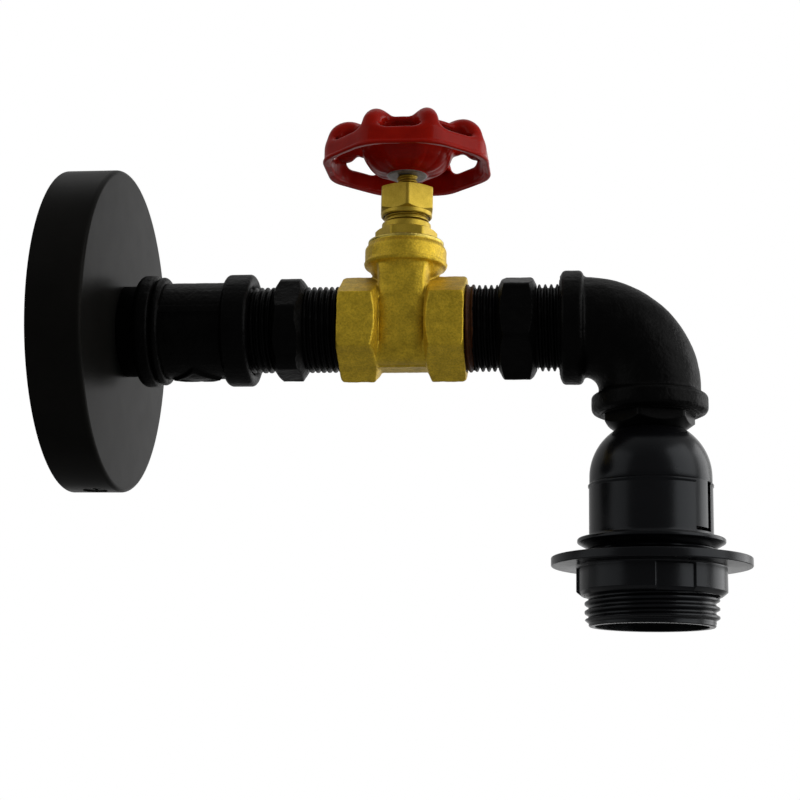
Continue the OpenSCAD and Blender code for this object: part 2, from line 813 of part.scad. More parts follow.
// Nipple with a hexagon, threaded both ways from it
module hex_nipple(start, hex_x, hex_l, end, turn, corner_d) {
    pipe_thread(start, hex_x + thread_wall - start);
    pipe_thread(hex_x + hex_l - thread_wall, end - hex_x - hex_l + thread_wall);
    difference() {
        rotate([turn, 0, 0])
            turned_hex_x(hex_x, hex_l, nipple_af, corner_d / 2, nipple_chamfer, pipe_r);
        bar_x(hex_x - cut, hex_l + 2 * cut, pipe_bore_d);
    }
}

module wall_hex_nipple() {
    color(iron_black)
        hex_nipple(coupling_end - wall_nipple_engaged, wall_hex_x, wall_hex_l, valve_x + valve_engaged,
            wall_hex_turn, wall_hex_corner_d);
}

module lamp_hex_nipple() {
    color(iron_black)
        hex_nipple(valve_end - valve_engaged, lamp_hex_x, lamp_hex_l, elbow_x + lamp_nipple_engaged,
            lamp_hex_turn, lamp_hex_corner_d);
}

// One end hexagon of the valve, from its outer face inwards, with the slope to the middle
module valve_end_hex() {
    corner_r = valve_af / sqrt3 + thread_gap;
    outer_chamfer = 0.9;
    intersection() {
        hex_prism_x(0, valve_hex_l + valve_slope_l, valve_af);
        turn_on_pipe() polygon([
            [0, 0], [corner_r - outer_chamfer, 0], [corner_r, outer_chamfer], [corner_r, valve_hex_l],
            [housing_h / 2, valve_hex_l + valve_slope_l], [0, valve_hex_l + valve_slope_l]
        ]);
    }
}

// Flat-sided housing between the hexagons, rounded in plan and reaching up into the collar
module gate_housing() {
    low = housing_h / 2;
    side = housing_d / 2;
    width = valve_l - 2 * valve_hex_l - valve_slope_l;
    intersection() {
        translate([stem_x - width / 2, 0, 0]) rotate([0, 90, 0]) linear_extrude(width)
            polygon(concat(
                [[-collar_low_z, side], [-collar_low_z, -side]],
                arc([low - housing_edge_r, -side + housing_edge_r], housing_edge_r, -90, 0),
                arc([low - housing_edge_r, side - housing_edge_r], housing_edge_r, 0, 90)
            ));
        translate([stem_x, 0, -housing_h])
            cylinder(r = collar_d / 2 - housing_step, h = housing_h + collar_low_z + cut);
    }
}

module valve_body() {
    collar_r = collar_d / 2;
    slope_r = collar_r - collar_slope_in;
    bonnet_bore = bonnet_thread_d / 2 + thread_gap;
    thread_depth = valve_engaged + thread_wall;
    color(brass)
        difference() {
            union() {
                translate([valve_x, 0, 0]) valve_end_hex();
                translate([valve_end, 0, 0]) mirror([1, 0, 0]) valve_end_hex();
                gate_housing();
                turn_on_stem() polygon(concat(
                    [[0, 0], [slope_r, 0], [slope_r, collar_low_z - collar_slope_h],
                        [collar_r, collar_low_z]],
                    arc([collar_r - collar_edge_r, collar_top_z - collar_edge_r], collar_edge_r, 0, 90),
                    [[0, collar_top_z]]
                ));
            }
            bar_x(valve_x - cut, thread_depth + cut, 2 * female_r);
            bar_x(valve_end - thread_depth, thread_depth + cut, 2 * female_r);
            bar_x(valve_x, valve_l, valve_bore_d);
            translate([stem_x, 0, 0]) cylinder(d = valve_cavity_d, h = collar_top_z);
            translate([stem_x, 0, bonnet_z - bonnet_thread_l])
                cylinder(r = bonnet_bore, h = bonnet_thread_l + cut);
        }
}

module valve_bonnet() {
    bore_r = stem_r + stem_gap;
    chamber_r = stem_collar_d / 2 + stem_gap;
    neck_r = bonnet_neck_d / 2;
    thread_r = bonnet_thread_d / 2;
    low = bonnet_z - bonnet_thread_l;
    thread_depth = bonnet_pitch / 2;
    color(brass)
        difference() {
            union() {
                turn_on_stem() polygon(concat(
                    [[0, low], [thread_r, low], [thread_r, bonnet_z], [bonnet_step_d / 2, bonnet_z],
                        [bonnet_step_d / 2, bonnet_neck_z]],
                    thread_points(bonnet_neck_z, bonnet_neck_l, neck_r - thread_depth, neck_r, bonnet_pitch),
                    [[0, bonnet_top_z]]
                ));
                translate([stem_x, 0, 0]) rotate([0, 0, bonnet_turn])
                    hex_prism(bonnet_z, bonnet_hex_h, bonnet_af);
            }
            translate([stem_x, 0, 0]) {
                translate([0, 0, low - cut]) cylinder(r = bore_r, h = bonnet_top_z - low + 2 * cut);
                translate([0, 0, low - cut])
                    cylinder(r = chamber_r, h = stem_chamber_top - low + cut);
                translate([0, 0, packing_z]) cylinder(d = packing_d + 2 * stem_gap, h = packing_h + cut);
            }
        }
}

module stem_ring(z, h, d, bore_r) {
    translate([stem_x, 0, z])
        difference() {
            cylinder(d = d, h = h);
            translate([0, 0, -cut]) cylinder(r = bore_r, h = h + 2 * cut);
        }
}

module valve_packing() {
    color("dimgray") stem_ring(packing_z, packing_h, packing_d, stem_r + stem_gap);
}

module gland_ring() {
    color(brass) stem_ring(bonnet_top_z, gland_t, packing_d, stem_r + stem_gap);
}

module packing_nut() {
    corner_r = packing_nut_af / sqrt3 + thread_gap;
    skirt_r = packing_nut_af / 2;
    skirt_top = packing_nut_z + packing_skirt_h;
    slope = (corner_r - skirt_r) / 2;
    edge = 0.4;
    color(brass)
        difference() {
            intersection() {
                translate([stem_x, 0, 0]) rotate([0, 0, packing_nut_turn])
                    union() {
                        hex_prism(packing_nut_z, packing_nut_h, packing_nut_af);
                        translate([0, 0, packing_nut_z]) cylinder(r = skirt_r, h = packing_skirt_h);
                    }
                turn_on_stem() polygon([
                    [0, packing_nut_z], [skirt_r - edge, packing_nut_z],
                    [skirt_r - edge / 4, packing_nut_z + edge], [skirt_r - edge / 4, skirt_top],
                    [corner_r, skirt_top + slope],
                    [corner_r, packing_nut_top - slope], [skirt_r, packing_nut_top], [0, packing_nut_top]
                ]);
            }
            translate([stem_x, 0, packing_nut_z - cut]) {
                cylinder(r = bonnet_neck_d / 2 + thread_gap,
                    h = bonnet_top_z + gland_t - packing_nut_z + cut);
                cylinder(r = stem_r + packing_nut_gap, h = packing_nut_h + 2 * cut);
            }
        }
}

module valve_stem() {
    low = stem_collar_z - stem_tail_l;
    collar_r = stem_collar_d / 2;
    tip_r = stem_tip_d / 2;
    tip_top = wheel_nut_z + wheel_nut_h + cut;
    color(brass)
        union() {
            turn_on_stem() polygon([
                [0, low], [stem_r, low], [stem_r, stem_collar_z], [collar_r, stem_collar_z],
                [collar_r, stem_collar_z + stem_collar_t], [stem_r, stem_collar_z + stem_collar_t],
                [stem_r, hub_z], [0, hub_z]
            ]);
            translate([stem_x - stem_square / 2, -stem_square / 2, hub_z])
                cube([stem_square, stem_square, hub_h]);
            translate([stem_x, 0, hub_top]) cylinder(r = tip_r, h = tip_top - hub_top);
        }
}

// Eight-sided plate with its corners rounded off by a circle
module wheel_outline(af, corner_d) {
    intersection() {
        rotate([0, 0, 180 / grip_count]) circle(d = af / cos(180 / grip_count), $fn = grip_count);
        circle(d = corner_d);
    }
}

// One raised grip, arching from the rim over to the dish
module wheel_grip() {
    grip_r = grip_d / 2;
    arch_z = grip_top - grip_r - grip_reach;
    arch_end = 140;
    translate([grip_circle_d / 2, 0, arch_z]) {
        rotate([90, 0, 0]) rotate_extrude(angle = arch_end) translate([grip_reach, 0]) circle(r = grip_r);
        rotate([0, -arch_end, 0]) translate([grip_reach, 0, 0]) sphere(r = grip_r);
        translate([grip_reach, 0, rim_rise + thread_wall - arch_z])
            cylinder(r = grip_r, h = arch_z - rim_rise - thread_wall);
    }
}

module handwheel() {
    dish_r = dish_d / 2;
    edge_r = dish_edge_d / 2;
    hub_r = hub_d / 2;
    dish_floor = dish_foot + dish_t;
    wall_top = dish_rise - dish_t;
    wall_mid = dish_foot + dish_mid_h;
    wall_low = dish_foot + dish_low_h;
    square_hole = stem_square + 2 * screw_gap;
    color(red_paint)
        translate([stem_x, 0, hub_z])
            difference() {
                union() {
                    translate([0, 0, rim_rise]) linear_extrude(rim_h)
                        difference() {
                            wheel_outline(wheel_af, wheel_corner_d);
                            wheel_outline(wheel_af - 2 * rim_t, wheel_corner_d - 2 * rim_t);
                        }
                    cylinder(r = hub_r, h = hub_h);
                    rotate_extrude() polygon([
                        [0, dish_foot], [hub_r, dish_foot], [hub_r + dish_toe, dish_foot + dish_toe_rise],
                        [dish_r - dish_curve, wall_low], [dish_r, wall_mid],
                        [dish_r + dish_curve, wall_top], [edge_r, dish_rise - dish_t / 2],
                        [edge_r, dish_rise + dish_t / 2], [dish_r - dish_lip, wall_top + dish_t],
                        [dish_r - dish_t, wall_mid], [dish_r - dish_t - dish_curve, wall_low + dish_step],
                        [hub_r + dish_step, dish_floor], [0, dish_floor]
                    ]);
                    difference() {
                        for (i = [0 : grip_count - 1])
                            rotate([0, 0, (i + 0.5) * 360 / grip_count]) wheel_grip();
                        translate([0, 0, rim_rise]) linear_extrude(rim_hollow_h)
                            wheel_outline(wheel_af - 2 * rim_t, wheel_corner_d - 2 * rim_t);
                    }
                }
                translate([-square_hole / 2, -square_hole / 2, -cut])
                    cube([square_hole, square_hole, hub_h + 2 * cut]);
            }
}

module wheel_washer() {
    color(zinc) stem_ring(hub_top, wheel_washer_t, wheel_washer_d, stem_tip_d / 2 + screw_gap);
}

module wheel_nut() {
    color(brass)
        translate([stem_x, 0, 0])
            difference() {
                hex_prism(wheel_nut_z, wheel_nut_h, wheel_nut_af);
                translate([0, 0, wheel_nut_z - cut])
                    cylinder(r = stem_tip_d / 2 + screw_gap, h = wheel_nut_h + 2 * cut);
            }
}

module thread_sealant() {
    color(copper_brown)
        difference() {
            bar_x(valve_end, sealant_l, 2 * (female_r + sealant_t));
            bar_x(valve_end - cut, sealant_l + 2 * cut, 2 * female_r);
        }
}

// Section of an elbow's end: a stub with a rounded band, its face at zero
function elbow_end_points(length, band_l) = concat(
    [[0, 0], [elbow_lip_r, 0]],
    band_points(elbow_lip_l, band_l, elbow_band_d / 2, band_edge_r),
    [[elbow_d / 2, band_l], [elbow_d / 2, length], [0, length]]
);

module elbow() {
    in_l = elbow_in - bend_r;
    out_l = elbow_out - bend_r;
    color(iron_black)
        difference() {
            union() {
                translate([elbow_x, 0, 0]) turn_on_pipe() polygon(elbow_end_points(in_l, elbow_in_band_l));
                translate([lamp_x, 0, -elbow_out])
                    rotate_extrude() polygon(elbow_end_points(out_l, elbow_out_band_l));
                elbow_bend(elbow_d);
            }
            bar_x(elbow_x - cut, elbow_thread_l + cut, 2 * female_r);
            translate([lamp_x, 0, -elbow_out - cut]) cylinder(r = female_r, h = elbow_thread_l + cut);
            elbow_bend(elbow_bore_d);
        }
}

// Quarter bend from the pipe axis down to the lamp axis
module elbow_bend(d, r = bend_r) {
    translate([lamp_x - bend_r, 0, -bend_r]) rotate([90, 0, 0])
        rotate_extrude(angle = 90) translate([r, 0]) circle(d = d);
}

module hex_bush() {
    corner_r = bush_af / sqrt3 + thread_gap;
    color(steel_black)
        difference() {
            union() {
                turn_on_lamp() polygon(concat(
                    [[0, bush_z - bush_flat_h / 2], [pipe_root_r, bush_z - bush_flat_h / 2]],
                    thread_points(bush_z, bush_engaged, pipe_root_r, pipe_r, pipe_pitch),
                    [[0, bush_z + bush_engaged]]
                ));
                intersection() {
                    translate([lamp_x, 0, 0]) rotate([0, 0, bush_turn])
                        hex_prism(cap_z, bush_head_h, bush_af);
                    turn_on_lamp() polygon([
                        [0, cap_z], [bush_end_d / 2, cap_z], [corner_r, bush_z - bush_flat_h],
                        [corner_r, bush_z], [0, bush_z]
                    ]);
                }
            }
            translate([lamp_x, 0, cap_z - cut])
                cylinder(r = holder_thread_d / 2 + thread_gap, h = bush_head_h + bush_engaged + 2 * cut);
        }
}

module holder_nipple() {
    low = cap_z - holder_nipple_down;
    length = holder_nipple_down + bush_head_h + bush_engaged + holder_nipple_up;
    color(zinc)
        turn_on_lamp() polygon(concat(
            [[holder_bore_d / 2, low]],
            thread_points(low, length, holder_thread_d / 2 - holder_thread_depth, holder_thread_d / 2,
                holder_pitch),
            [[holder_bore_d / 2, low + length]]
        ));
}

module holder_cap() {
    bore_r = holder_thread_d / 2 + thread_gap;
    dome_low = seam_z + dome_skirt;
    dome_centre = cap_r - dome_r;
    top_angle = asin((cap_z - dome_low) / dome_r);
    spigot_r = insert_d / 2;
    cavity_r = spigot_r - spigot_wall;
    cavity_z = cap_z - cap_roof;
    shoulder_z = cavity_z - cap_roof;
    boss_r = cap_boss_d / 2;
    color(plastic_black) {
        turn_on_lamp() polygon(concat(
            [[bore_r, cap_z - cap_boss_h], [bore_r, cap_z]],
            [for (i = [0 : dome_steps])
                let (a = top_angle * (1 - i / dome_steps))
                [dome_centre + dome_r * cos(a), dome_low + dome_r * sin(a)]],
            [[cap_r, seam_z], [spigot_r, seam_z], [spigot_r, seam_z - spigot_l],
                [cavity_r, seam_z - spigot_l], [cavity_r, shoulder_z], [boss_r + cap_roof, cavity_z],
                [boss_r, cavity_z], [boss_r, cap_z - cap_boss_h]]
        ));
        translate([lamp_x, 0, 0]) rotate([0, 0, lock_tab_turn])
            intersection() {
                rotate_extrude() translate([lock_tab_r, seam_z - lock_tab_l])
                    square([lock_tab_t, lock_tab_l + thread_wall]);
                translate([0, -tab_width / 2, seam_z - lock_tab_l - cut])
                    cube([2 * cap_r, tab_width, lock_tab_l + 3 * cut]);
            }
    }
}

module holder_insert() {
    color("ivory")
        translate([lamp_x, 0, 0])
            difference() {
                translate([0, 0, ledge_z]) cylinder(d = insert_d, h = insert_h);
                for (side = [-1, 1])
                    translate([side * terminal_x, 0, ledge_z + insert_h - terminal_l])
                        cylinder(r = terminal_d / 2 + screw_gap, h = terminal_l + cut);
            }
}

module terminal_screws() {
    top = ledge_z + insert_h;
    slot_depth = terminal_head_h / 2;
    color(brass)
        for (side = [-1, 1])
            translate([lamp_x + side * terminal_x, 0, top])
                difference() {
                    union() {
                        translate([0, 0, -terminal_l])
                            cylinder(d = terminal_d, h = terminal_l + slot_depth / 2);
                        cylinder(d = terminal_head_d, h = terminal_head_h);
                    }
                    translate([0, 0, terminal_head_h])
                        cube([terminal_head_d * 2, terminal_head_d / 6, 2 * slot_depth], center = true);
                }
}

module centre_contact() {
    reach = 8;
    tip = 3;
    bend_x = -2;
    color(brass)
        translate([lamp_x, contact_w / 2, ledge_z]) rotate([90, 0, 0]) linear_extrude(contact_w)
            polygon([
                [-reach, 0], [bend_x, 0], [tip, -contact_drop + contact_t], [tip, -contact_drop],
                [bend_x - contact_t / 2, -contact_t], [-reach, -contact_t]
            ]);
}

module side_contact() {
    out = socket_root_d / 2 - side_contact_in;
    foot = 3;
    color(brass)
        translate([lamp_x - contact_w / 2, 0, ledge_z]) {
            translate([0, out - foot, -contact_t]) cube([contact_w, foot, contact_t]);
            translate([0, out - contact_t, -side_contact_l]) cube([contact_w, contact_t, side_contact_l]);
        }
}

module holder_shell() {
    lip_r = shell_r + shell_lip_out;
    edge_r = shell_r + shell_collar_out;
    root_r = ring_thread_d / 2 - ring_thread_depth;
    bore_r = insert_d / 2 + insert_gap;
    collar_top = collar_z + shell_collar_t / 2;
    collar_low = collar_z - shell_collar_t / 2;
    socket_r = socket_d / 2;
    root = socket_root_d / 2;
    outer = thread_points(-collar_under_z, ring_thread_l, root_r, ring_thread_d / 2, ring_pitch);
    color(plastic_black)
        difference() {
            turn_on_lamp() polygon(concat(
                [[bore_r, ledge_z], [bore_r, seam_z], [lip_r, seam_z], [lip_r, seam_z - shell_lip_h],
                    [shell_r, seam_z - 2 * shell_lip_h], [shell_r, collar_top + shell_collar_slope],
                    [edge_r, collar_top], [edge_r, collar_low]],
                [for (p = outer) [p[0], -p[1]]],
                [[root_r - mouth_lip_step, mouth_z], [mouth_d / 2, mouth_z], [mouth_d / 2, socket_low]],
                [for (i = [0 : socket_turns - 1]) each [
                    [socket_r, socket_low + i * socket_pitch],
                    [socket_r, socket_low + (i + 3 / 16) * socket_pitch],
                    [root, socket_low + (i + 7 / 16) * socket_pitch],
                    [root, socket_low + (i + 11 / 16) * socket_pitch],
                    [socket_r, socket_low + (i + 15 / 16) * socket_pitch]
                ]],
                [[socket_r, socket_high], [root, socket_high], [root, ledge_z]]
            ));
            translate([lamp_x, 0, 0]) rotate([0, 0, window_turn])
                translate([socket_root_d / 2, -window_w / 2, seam_z - window_h])
                    cube([2 * shell_r, window_w, window_h + cut]);
        }
}

module shade_ring() {
    bore_r = ring_thread_d / 2 + ring_gap;
    skirt_r = skirt_d / 2;
    skirt_low = ring_z - shade_ring_t - skirt_h;
    edge = 0.3;
    ring_r = shade_ring_d / 2;
    color(plastic_black)
        difference() {
            turn_on_lamp() polygon([
                [bore_r, ring_z], [ring_r - edge, ring_z], [ring_r, ring_z - edge],
                [ring_r, ring_z - shade_ring_t + edge], [ring_r - edge, ring_z - shade_ring_t],
                [skirt_r, ring_z - shade_ring_t], [skirt_r, skirt_low + skirt_chamfer],
                [skirt_r - skirt_chamfer, skirt_low], [bore_r, skirt_low]
            ]);
            translate([lamp_x, 0, 0])
                for (i = [0 : recess_count - 1])
                    rotate([0, 0, recess_turn + i * 360 / recess_count - recess_angle / 2])
                        rotate_extrude(angle = recess_angle)
                            translate([skirt_r - recess_depth, skirt_low - cut])
                                square([recess_depth + cut, skirt_h + cut - edge]);
        }
}

// One straight stretch of wire between two points, with round ends
module wire_run(from, to) {
    v = to - from;
    length = norm(v);
    translate(from) rotate([0, acos(v[2] / length), atan2(v[1], v[0])]) cylinder(d = wire_d, h = length);
    translate(from) sphere(d = wire_d + wire_joint_extra);
    translate(to) sphere(d = wire_d + wire_joint_extra);
}

// Lamp wire from its way in the terminal block to its screw in the lampholder
module lamp_wire(way, side) {
    offset_z = side * wire_spacing / 2;
    entry = block_y + block_w / 2;
    splay_start = block_y - wire_lead;
    splay_end = wire_bend_r + wire_lead;
    end_z = ledge_z + insert_h + wire_d / 2 + wire_joint_extra;
    end_x = terminal_x - terminal_head_d / 2 - wire_d / 2 - wire_joint_extra;
    drop_z = cap_z - holder_nipple_down - wire_lead;
    translate([wire_x, 0, way * block_pitch]) bar_y(splay_start, entry - splay_start, wire_d);
    wire_run([wire_x, splay_start, way * block_pitch], [wire_x, splay_end, offset_z]);
    translate([wire_x, 0, offset_z]) bar_y(wire_bend_r, splay_end - wire_bend_r, wire_d);
    translate([wire_x + wire_bend_r, wire_bend_r, offset_z]) rotate([0, 0, 180])
        rotate_extrude(angle = 90) translate([wire_bend_r, 0]) circle(d = wire_d);
    translate([0, 0, offset_z])
        bar_x(wire_x + wire_bend_r, lamp_x - bend_r - wire_x - wire_bend_r, wire_d);
    elbow_bend(wire_d, bend_r + offset_z);
    translate([lamp_x + offset_z, 0, drop_z]) cylinder(d = wire_d, h = -bend_r - drop_z);
    wire_run([lamp_x + offset_z, 0, drop_z], [lamp_x + side * end_x, 0, end_z]);
}

module live_wire() {
    color("saddlebrown") lamp_wire(1, 1);
}

module neutral_wire() {
    color("royalblue") lamp_wire(0, -1);
}

module earth_wire() {
    entry = block_y + block_w / 2;
    splay_start = block_y - wire_lead;
    barrel_end = barrel_start + barrel_l;
    splay_end = barrel_end + wire_lead;
    color("yellowgreen") {
        translate([wire_x, 0, -block_pitch]) bar_y(splay_start, entry - splay_start, wire_d);
        wire_run([wire_x, splay_start, -block_pitch], [barrel_x, splay_end, -earth_screw_z]);
        translate([barrel_x, 0, -earth_screw_z]) bar_y(barrel_end, splay_end - barrel_end, wire_d);
    }
}

wall_plate();
mounting_bracket();
side_screws();
earth_screw();
earth_tag();
terminal_block();
block_screws();
lock_nut();
plate_nipple();
coupling();
wall_hex_nipple();
valve_body();
valve_bonnet();
valve_packing();
gland_ring();
packing_nut();
valve_stem();
handwheel();
wheel_washer();
wheel_nut();
thread_sealant();
lamp_hex_nipple();
elbow();
hex_bush();
holder_nipple();
holder_cap();
holder_insert();
terminal_screws();
centre_contact();
side_contact();
holder_shell();
shade_ring();
live_wire();
neutral_wire();
earth_wire();
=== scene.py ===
"""Looks of the pipe wall light: cast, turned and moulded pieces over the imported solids.

Shapes are worked out in millimetres in the frame of the solids and turned into metres as each mesh is made.
In the outlines, offsets of a few hundredths keep apart two rows of points that would share a place.
"""

import json
import math

import bmesh
import bpy
import numpy as np
from mathutils import Matrix, Vector


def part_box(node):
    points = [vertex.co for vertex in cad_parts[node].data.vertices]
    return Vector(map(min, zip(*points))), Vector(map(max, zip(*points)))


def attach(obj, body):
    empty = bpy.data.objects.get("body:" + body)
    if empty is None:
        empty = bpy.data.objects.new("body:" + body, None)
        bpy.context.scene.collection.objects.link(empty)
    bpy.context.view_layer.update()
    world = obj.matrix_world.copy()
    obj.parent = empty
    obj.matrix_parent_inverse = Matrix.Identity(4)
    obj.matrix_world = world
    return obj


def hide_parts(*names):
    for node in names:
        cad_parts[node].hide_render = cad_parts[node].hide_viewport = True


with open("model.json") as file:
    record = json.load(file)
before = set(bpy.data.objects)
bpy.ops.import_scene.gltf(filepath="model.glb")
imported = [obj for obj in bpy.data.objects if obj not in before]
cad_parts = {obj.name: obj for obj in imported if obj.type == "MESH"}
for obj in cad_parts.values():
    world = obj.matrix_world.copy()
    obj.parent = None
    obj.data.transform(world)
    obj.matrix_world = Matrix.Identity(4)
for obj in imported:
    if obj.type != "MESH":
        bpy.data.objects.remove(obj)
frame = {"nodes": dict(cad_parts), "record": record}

MM = 0.001
TURN = 2 * math.pi
X, Y, Z = 0, 1, 2
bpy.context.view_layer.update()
record = frame["record"]
body_of_node = {n: body for body, names in record["behaviour"]["bodies"].items() for n in names}
slot_of_node = {part["node"]: part["material_slot"] for part in record["subparts"]}


def span(node, axis):
    """Lowest and highest millimetre of a CAD node along one axis."""
    low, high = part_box(node)
    return low[axis] / MM, high[axis] / MM


def middle(node, axis):
    """Middle of a CAD node along one axis, in millimetres."""
    return sum(span(node, axis)) / 2


# Sizes shared by several pieces
STEM_X = middle("packing_nut", X)
LAMP_X = middle("shade_ring", X)
PIPE_R = 13.22
PIPE_ROOT_R = 12.1
PIPE_PITCH = 1.814
PIPE_BORE_R = 10.0
FEMALE_R = 13.3
AROUND = 240
SLACK = 1e-6


# Mesh building


def arc(centre, radius, start, end, steps=12):
    """Points of an arc in a section, angles in degrees."""
    return [
        (centre[0] + radius * math.cos(math.radians(a)), centre[1] + radius * math.sin(math.radians(a)))
        for a in np.linspace(start, end, steps + 1)
    ]


def round_corner(r, s, edge, start, end, steps=12):
    """Rounded corner of a section, given by the place where its two sides would meet."""
    mid = math.radians((start + end) / 2)
    centre = r - math.copysign(edge, math.cos(mid)), s - math.copysign(edge, math.sin(mid))
    return arc(centre, edge, start, end, steps)


def run(r, start, end, step):
    """Points along a straight stretch of a section at one radius, close enough for detail on it."""
    count = max(2, int(abs(end - start) / step) + 1)
    return [(r, s) for s in np.linspace(start, end, count)]


def slant(start, end, steps=12):
    """Points along a straight line in a section, close enough for hexagon flats to show on it."""
    return [tuple(point) for point in np.linspace(start, end, steps + 1)]


def hex_side(below, low, high, above, corner_r, step, rows=(12, 12), inset=0.1):
    """Chamfer out to a hexagon's corners in a section, their straight side, and the chamfer back in."""
    out = slant(below, (corner_r, low), rows[0])
    back = slant((corner_r, high), above, rows[1])
    return out + run(corner_r, low + inset, high - inset, step) + back


def corner_of(across):
    """Radius of a hexagon's corners from its width across flats."""
    return across / math.sqrt(3)


def band(low, high, r, edge):
    """Outer side of a band in a section, both edges rounded."""
    return round_corner(r, low, edge, -90, 0) + round_corner(r, high, edge, 0, 90)


def along_x(u, v, s):
    """Places section points on the pipe's axis."""
    return np.stack([s, u, v], -1)


def upright(x):
    """Function that places section points on an upright axis."""
    return lambda u, v, s: np.stack([x + u, v, s], -1)


along_stem = upright(STEM_X)
along_lamp = upright(LAMP_X)


def new_object(name, data):
    """Object with some data, put in the scene."""
    obj = bpy.data.objects.new(name, data)
    bpy.context.scene.collection.objects.link(obj)
    return obj


def finish_mesh(mesh, sharp, mend=False):
    """Smooth shading, with a hard line where two faces meet at more than the given angle.

    Mending first joins points that fall together and turns all faces outwards.
    """
    shape = bmesh.new()
    shape.from_mesh(mesh)
    if mend:
        bmesh.ops.remove_doubles(shape, verts=shape.verts, dist=MM * 1e-4)
        bmesh.ops.recalc_face_normals(shape, faces=shape.faces)
    for face in shape.faces:
        face.smooth = True
    for edge in shape.edges:
        if len(edge.link_faces) == 2:
            edge.smooth = edge.calc_face_angle(0.0) < math.radians(sharp)
    shape.to_mesh(mesh)
    shape.free()


def make_mesh(name, points, faces, sharp=32):
    """Object from points in millimetres and faces, smooth apart from edges sharper than an angle."""
    mesh = bpy.data.meshes.new(name)
    mesh.from_pydata((np.asarray(points) * MM).tolist(), [], faces)
    finish_mesh(mesh, sharp, mend=True)
    return new_object(name, mesh)


def spin(name, outline, place, shape=None, around=AROUND, sharp=32):
    """Closed solid from a closed outline of (radius, distance), turned about an axis.

    shape(angle, radius, distance) may change each point's radius, for hexagons, threads and ribs.
    """
    outline = np.array(outline, float)
    angle = np.arange(around) * TURN / around
    r = np.repeat(outline[:, :1], around, 1)
    s = np.repeat(outline[:, 1:], around, 1)
    if shape:
        r = shape(angle[None, :], r, s)
    points = place(r * np.cos(angle), r * np.sin(angle), s).reshape(-1, 3)
    number = np.arange(len(points)).reshape(-1, around)
    beside = np.roll(number, -1, 1)
    faces = np.stack([number, beside, np.roll(beside, -1, 0), np.roll(number, -1, 0)], -1)
    return make_mesh(name, points, faces.reshape(-1, 4).tolist(), sharp)


def prism(name, ring, ends, place):
    """Closed solid from a ring of points in a plane, drawn out between two ends."""
    n = len(ring)
    points = [place(*point, end) for end in ends for point in ring]
    faces = [tuple(range(n)), tuple(range(n, 2 * n))]
    faces += [(i, (i + 1) % n, n + (i + 1) % n, n + i) for i in range(n)]
    return make_mesh(name, points, faces)


def cut(obj, tool, sharp=32):
    """Takes the tool's shape out of the object, and the tool away."""
    change = obj.modifiers.new("cut", "BOOLEAN")
    change.operation = "DIFFERENCE"
    change.solver = "EXACT"
    change.object = tool
    done = bpy.data.meshes.new_from_object(obj.evaluated_get(bpy.context.evaluated_depsgraph_get()))
    obj.modifiers.clear()
    obj.data = done
    bpy.data.objects.remove(tool)
    finish_mesh(done, sharp)


def join(obj, *others):
    """Adds the other objects' meshes to the first."""
    with bpy.context.temp_override(active_object=obj, selected_editable_objects=[obj, *others]):
        bpy.ops.object.join()
    return obj


# Fields: negative inside a shape, and about the distance to its surface


def soft_min(a, b, k):
    """Joins two fields, with the inside corner between them filled over a width k."""
    h = np.clip(0.5 + 0.5 * (b - a) / k, 0, 1)
    return b + (a - b) * h - k * h * (1 - h)


def soft_max(a, b, k):
    """Keeps what is in both fields, with the edge between them rounded over a width k."""
    return -soft_min(-a, -b, k)


def trimmed(shape, *limits):
    """A field kept inside others, each given with the width of the rounded edge that it makes."""
    for limit, edge in limits:
        shape = soft_max(shape, limit, edge)
    return shape


def hexagon(u, v, across, edge):
    """Field of a hexagon with two corners on the v axis."""
    flat = across / 2
    lean = math.cos(math.radians(30))
    one = np.abs(u) - flat
    two = np.abs(u / 2 + v * lean) - flat
    three = np.abs(u / 2 - v * lean) - flat
    return trimmed(one, (two, edge), (three, edge))


def rounded_rectangle(u, v, low, high, edge):
    """Field of a rectangle with round corners, from its low to its high corner."""
    qu = np.abs(u - (low[0] + high[0]) / 2) - (high[0] - low[0]) / 2 + edge
    qv = np.abs(v - (low[1] + high[1]) / 2) - (high[1] - low[1]) / 2 + edge
    return np.hypot(np.maximum(qu, 0), np.maximum(qv, 0)) + np.minimum(np.maximum(qu, qv), 0) - edge


def path_distance(u, v, points):
    """Distance to a line through several points in a plane."""
    best = np.full_like(u, np.inf)
    for (u0, v0), (u1, v1) in zip(points, points[1:]):
        du, dv = u1 - u0, v1 - v0
        t = np.clip(((u - u0) * du + (v - v0) * dv) / (du * du + dv * dv), 0, 1)
        best = np.minimum(best, np.hypot(u - u0 - t * du, v - v0 - t * dv))
    return best


def lumps(p, size):
    """Smooth unevenness from 0 to 1 with lumps of about one size, as on a casting."""
    x, y, z = (p[..., i] * TURN / size for i in range(3))
    wave = np.sin(x + 1.3 * np.sin(0.7 * y)) + np.sin(0.9 * y + 1.7 * np.sin(0.8 * z))
    return 0.5 + (wave + np.sin(1.1 * z + np.sin(x))) / 6


def casting(p, *layers):
    """Depth of a casting's unevenness, from layers of (depth, size of lumps)."""
    return sum(depth * lumps(p, size) for depth, size in layers)


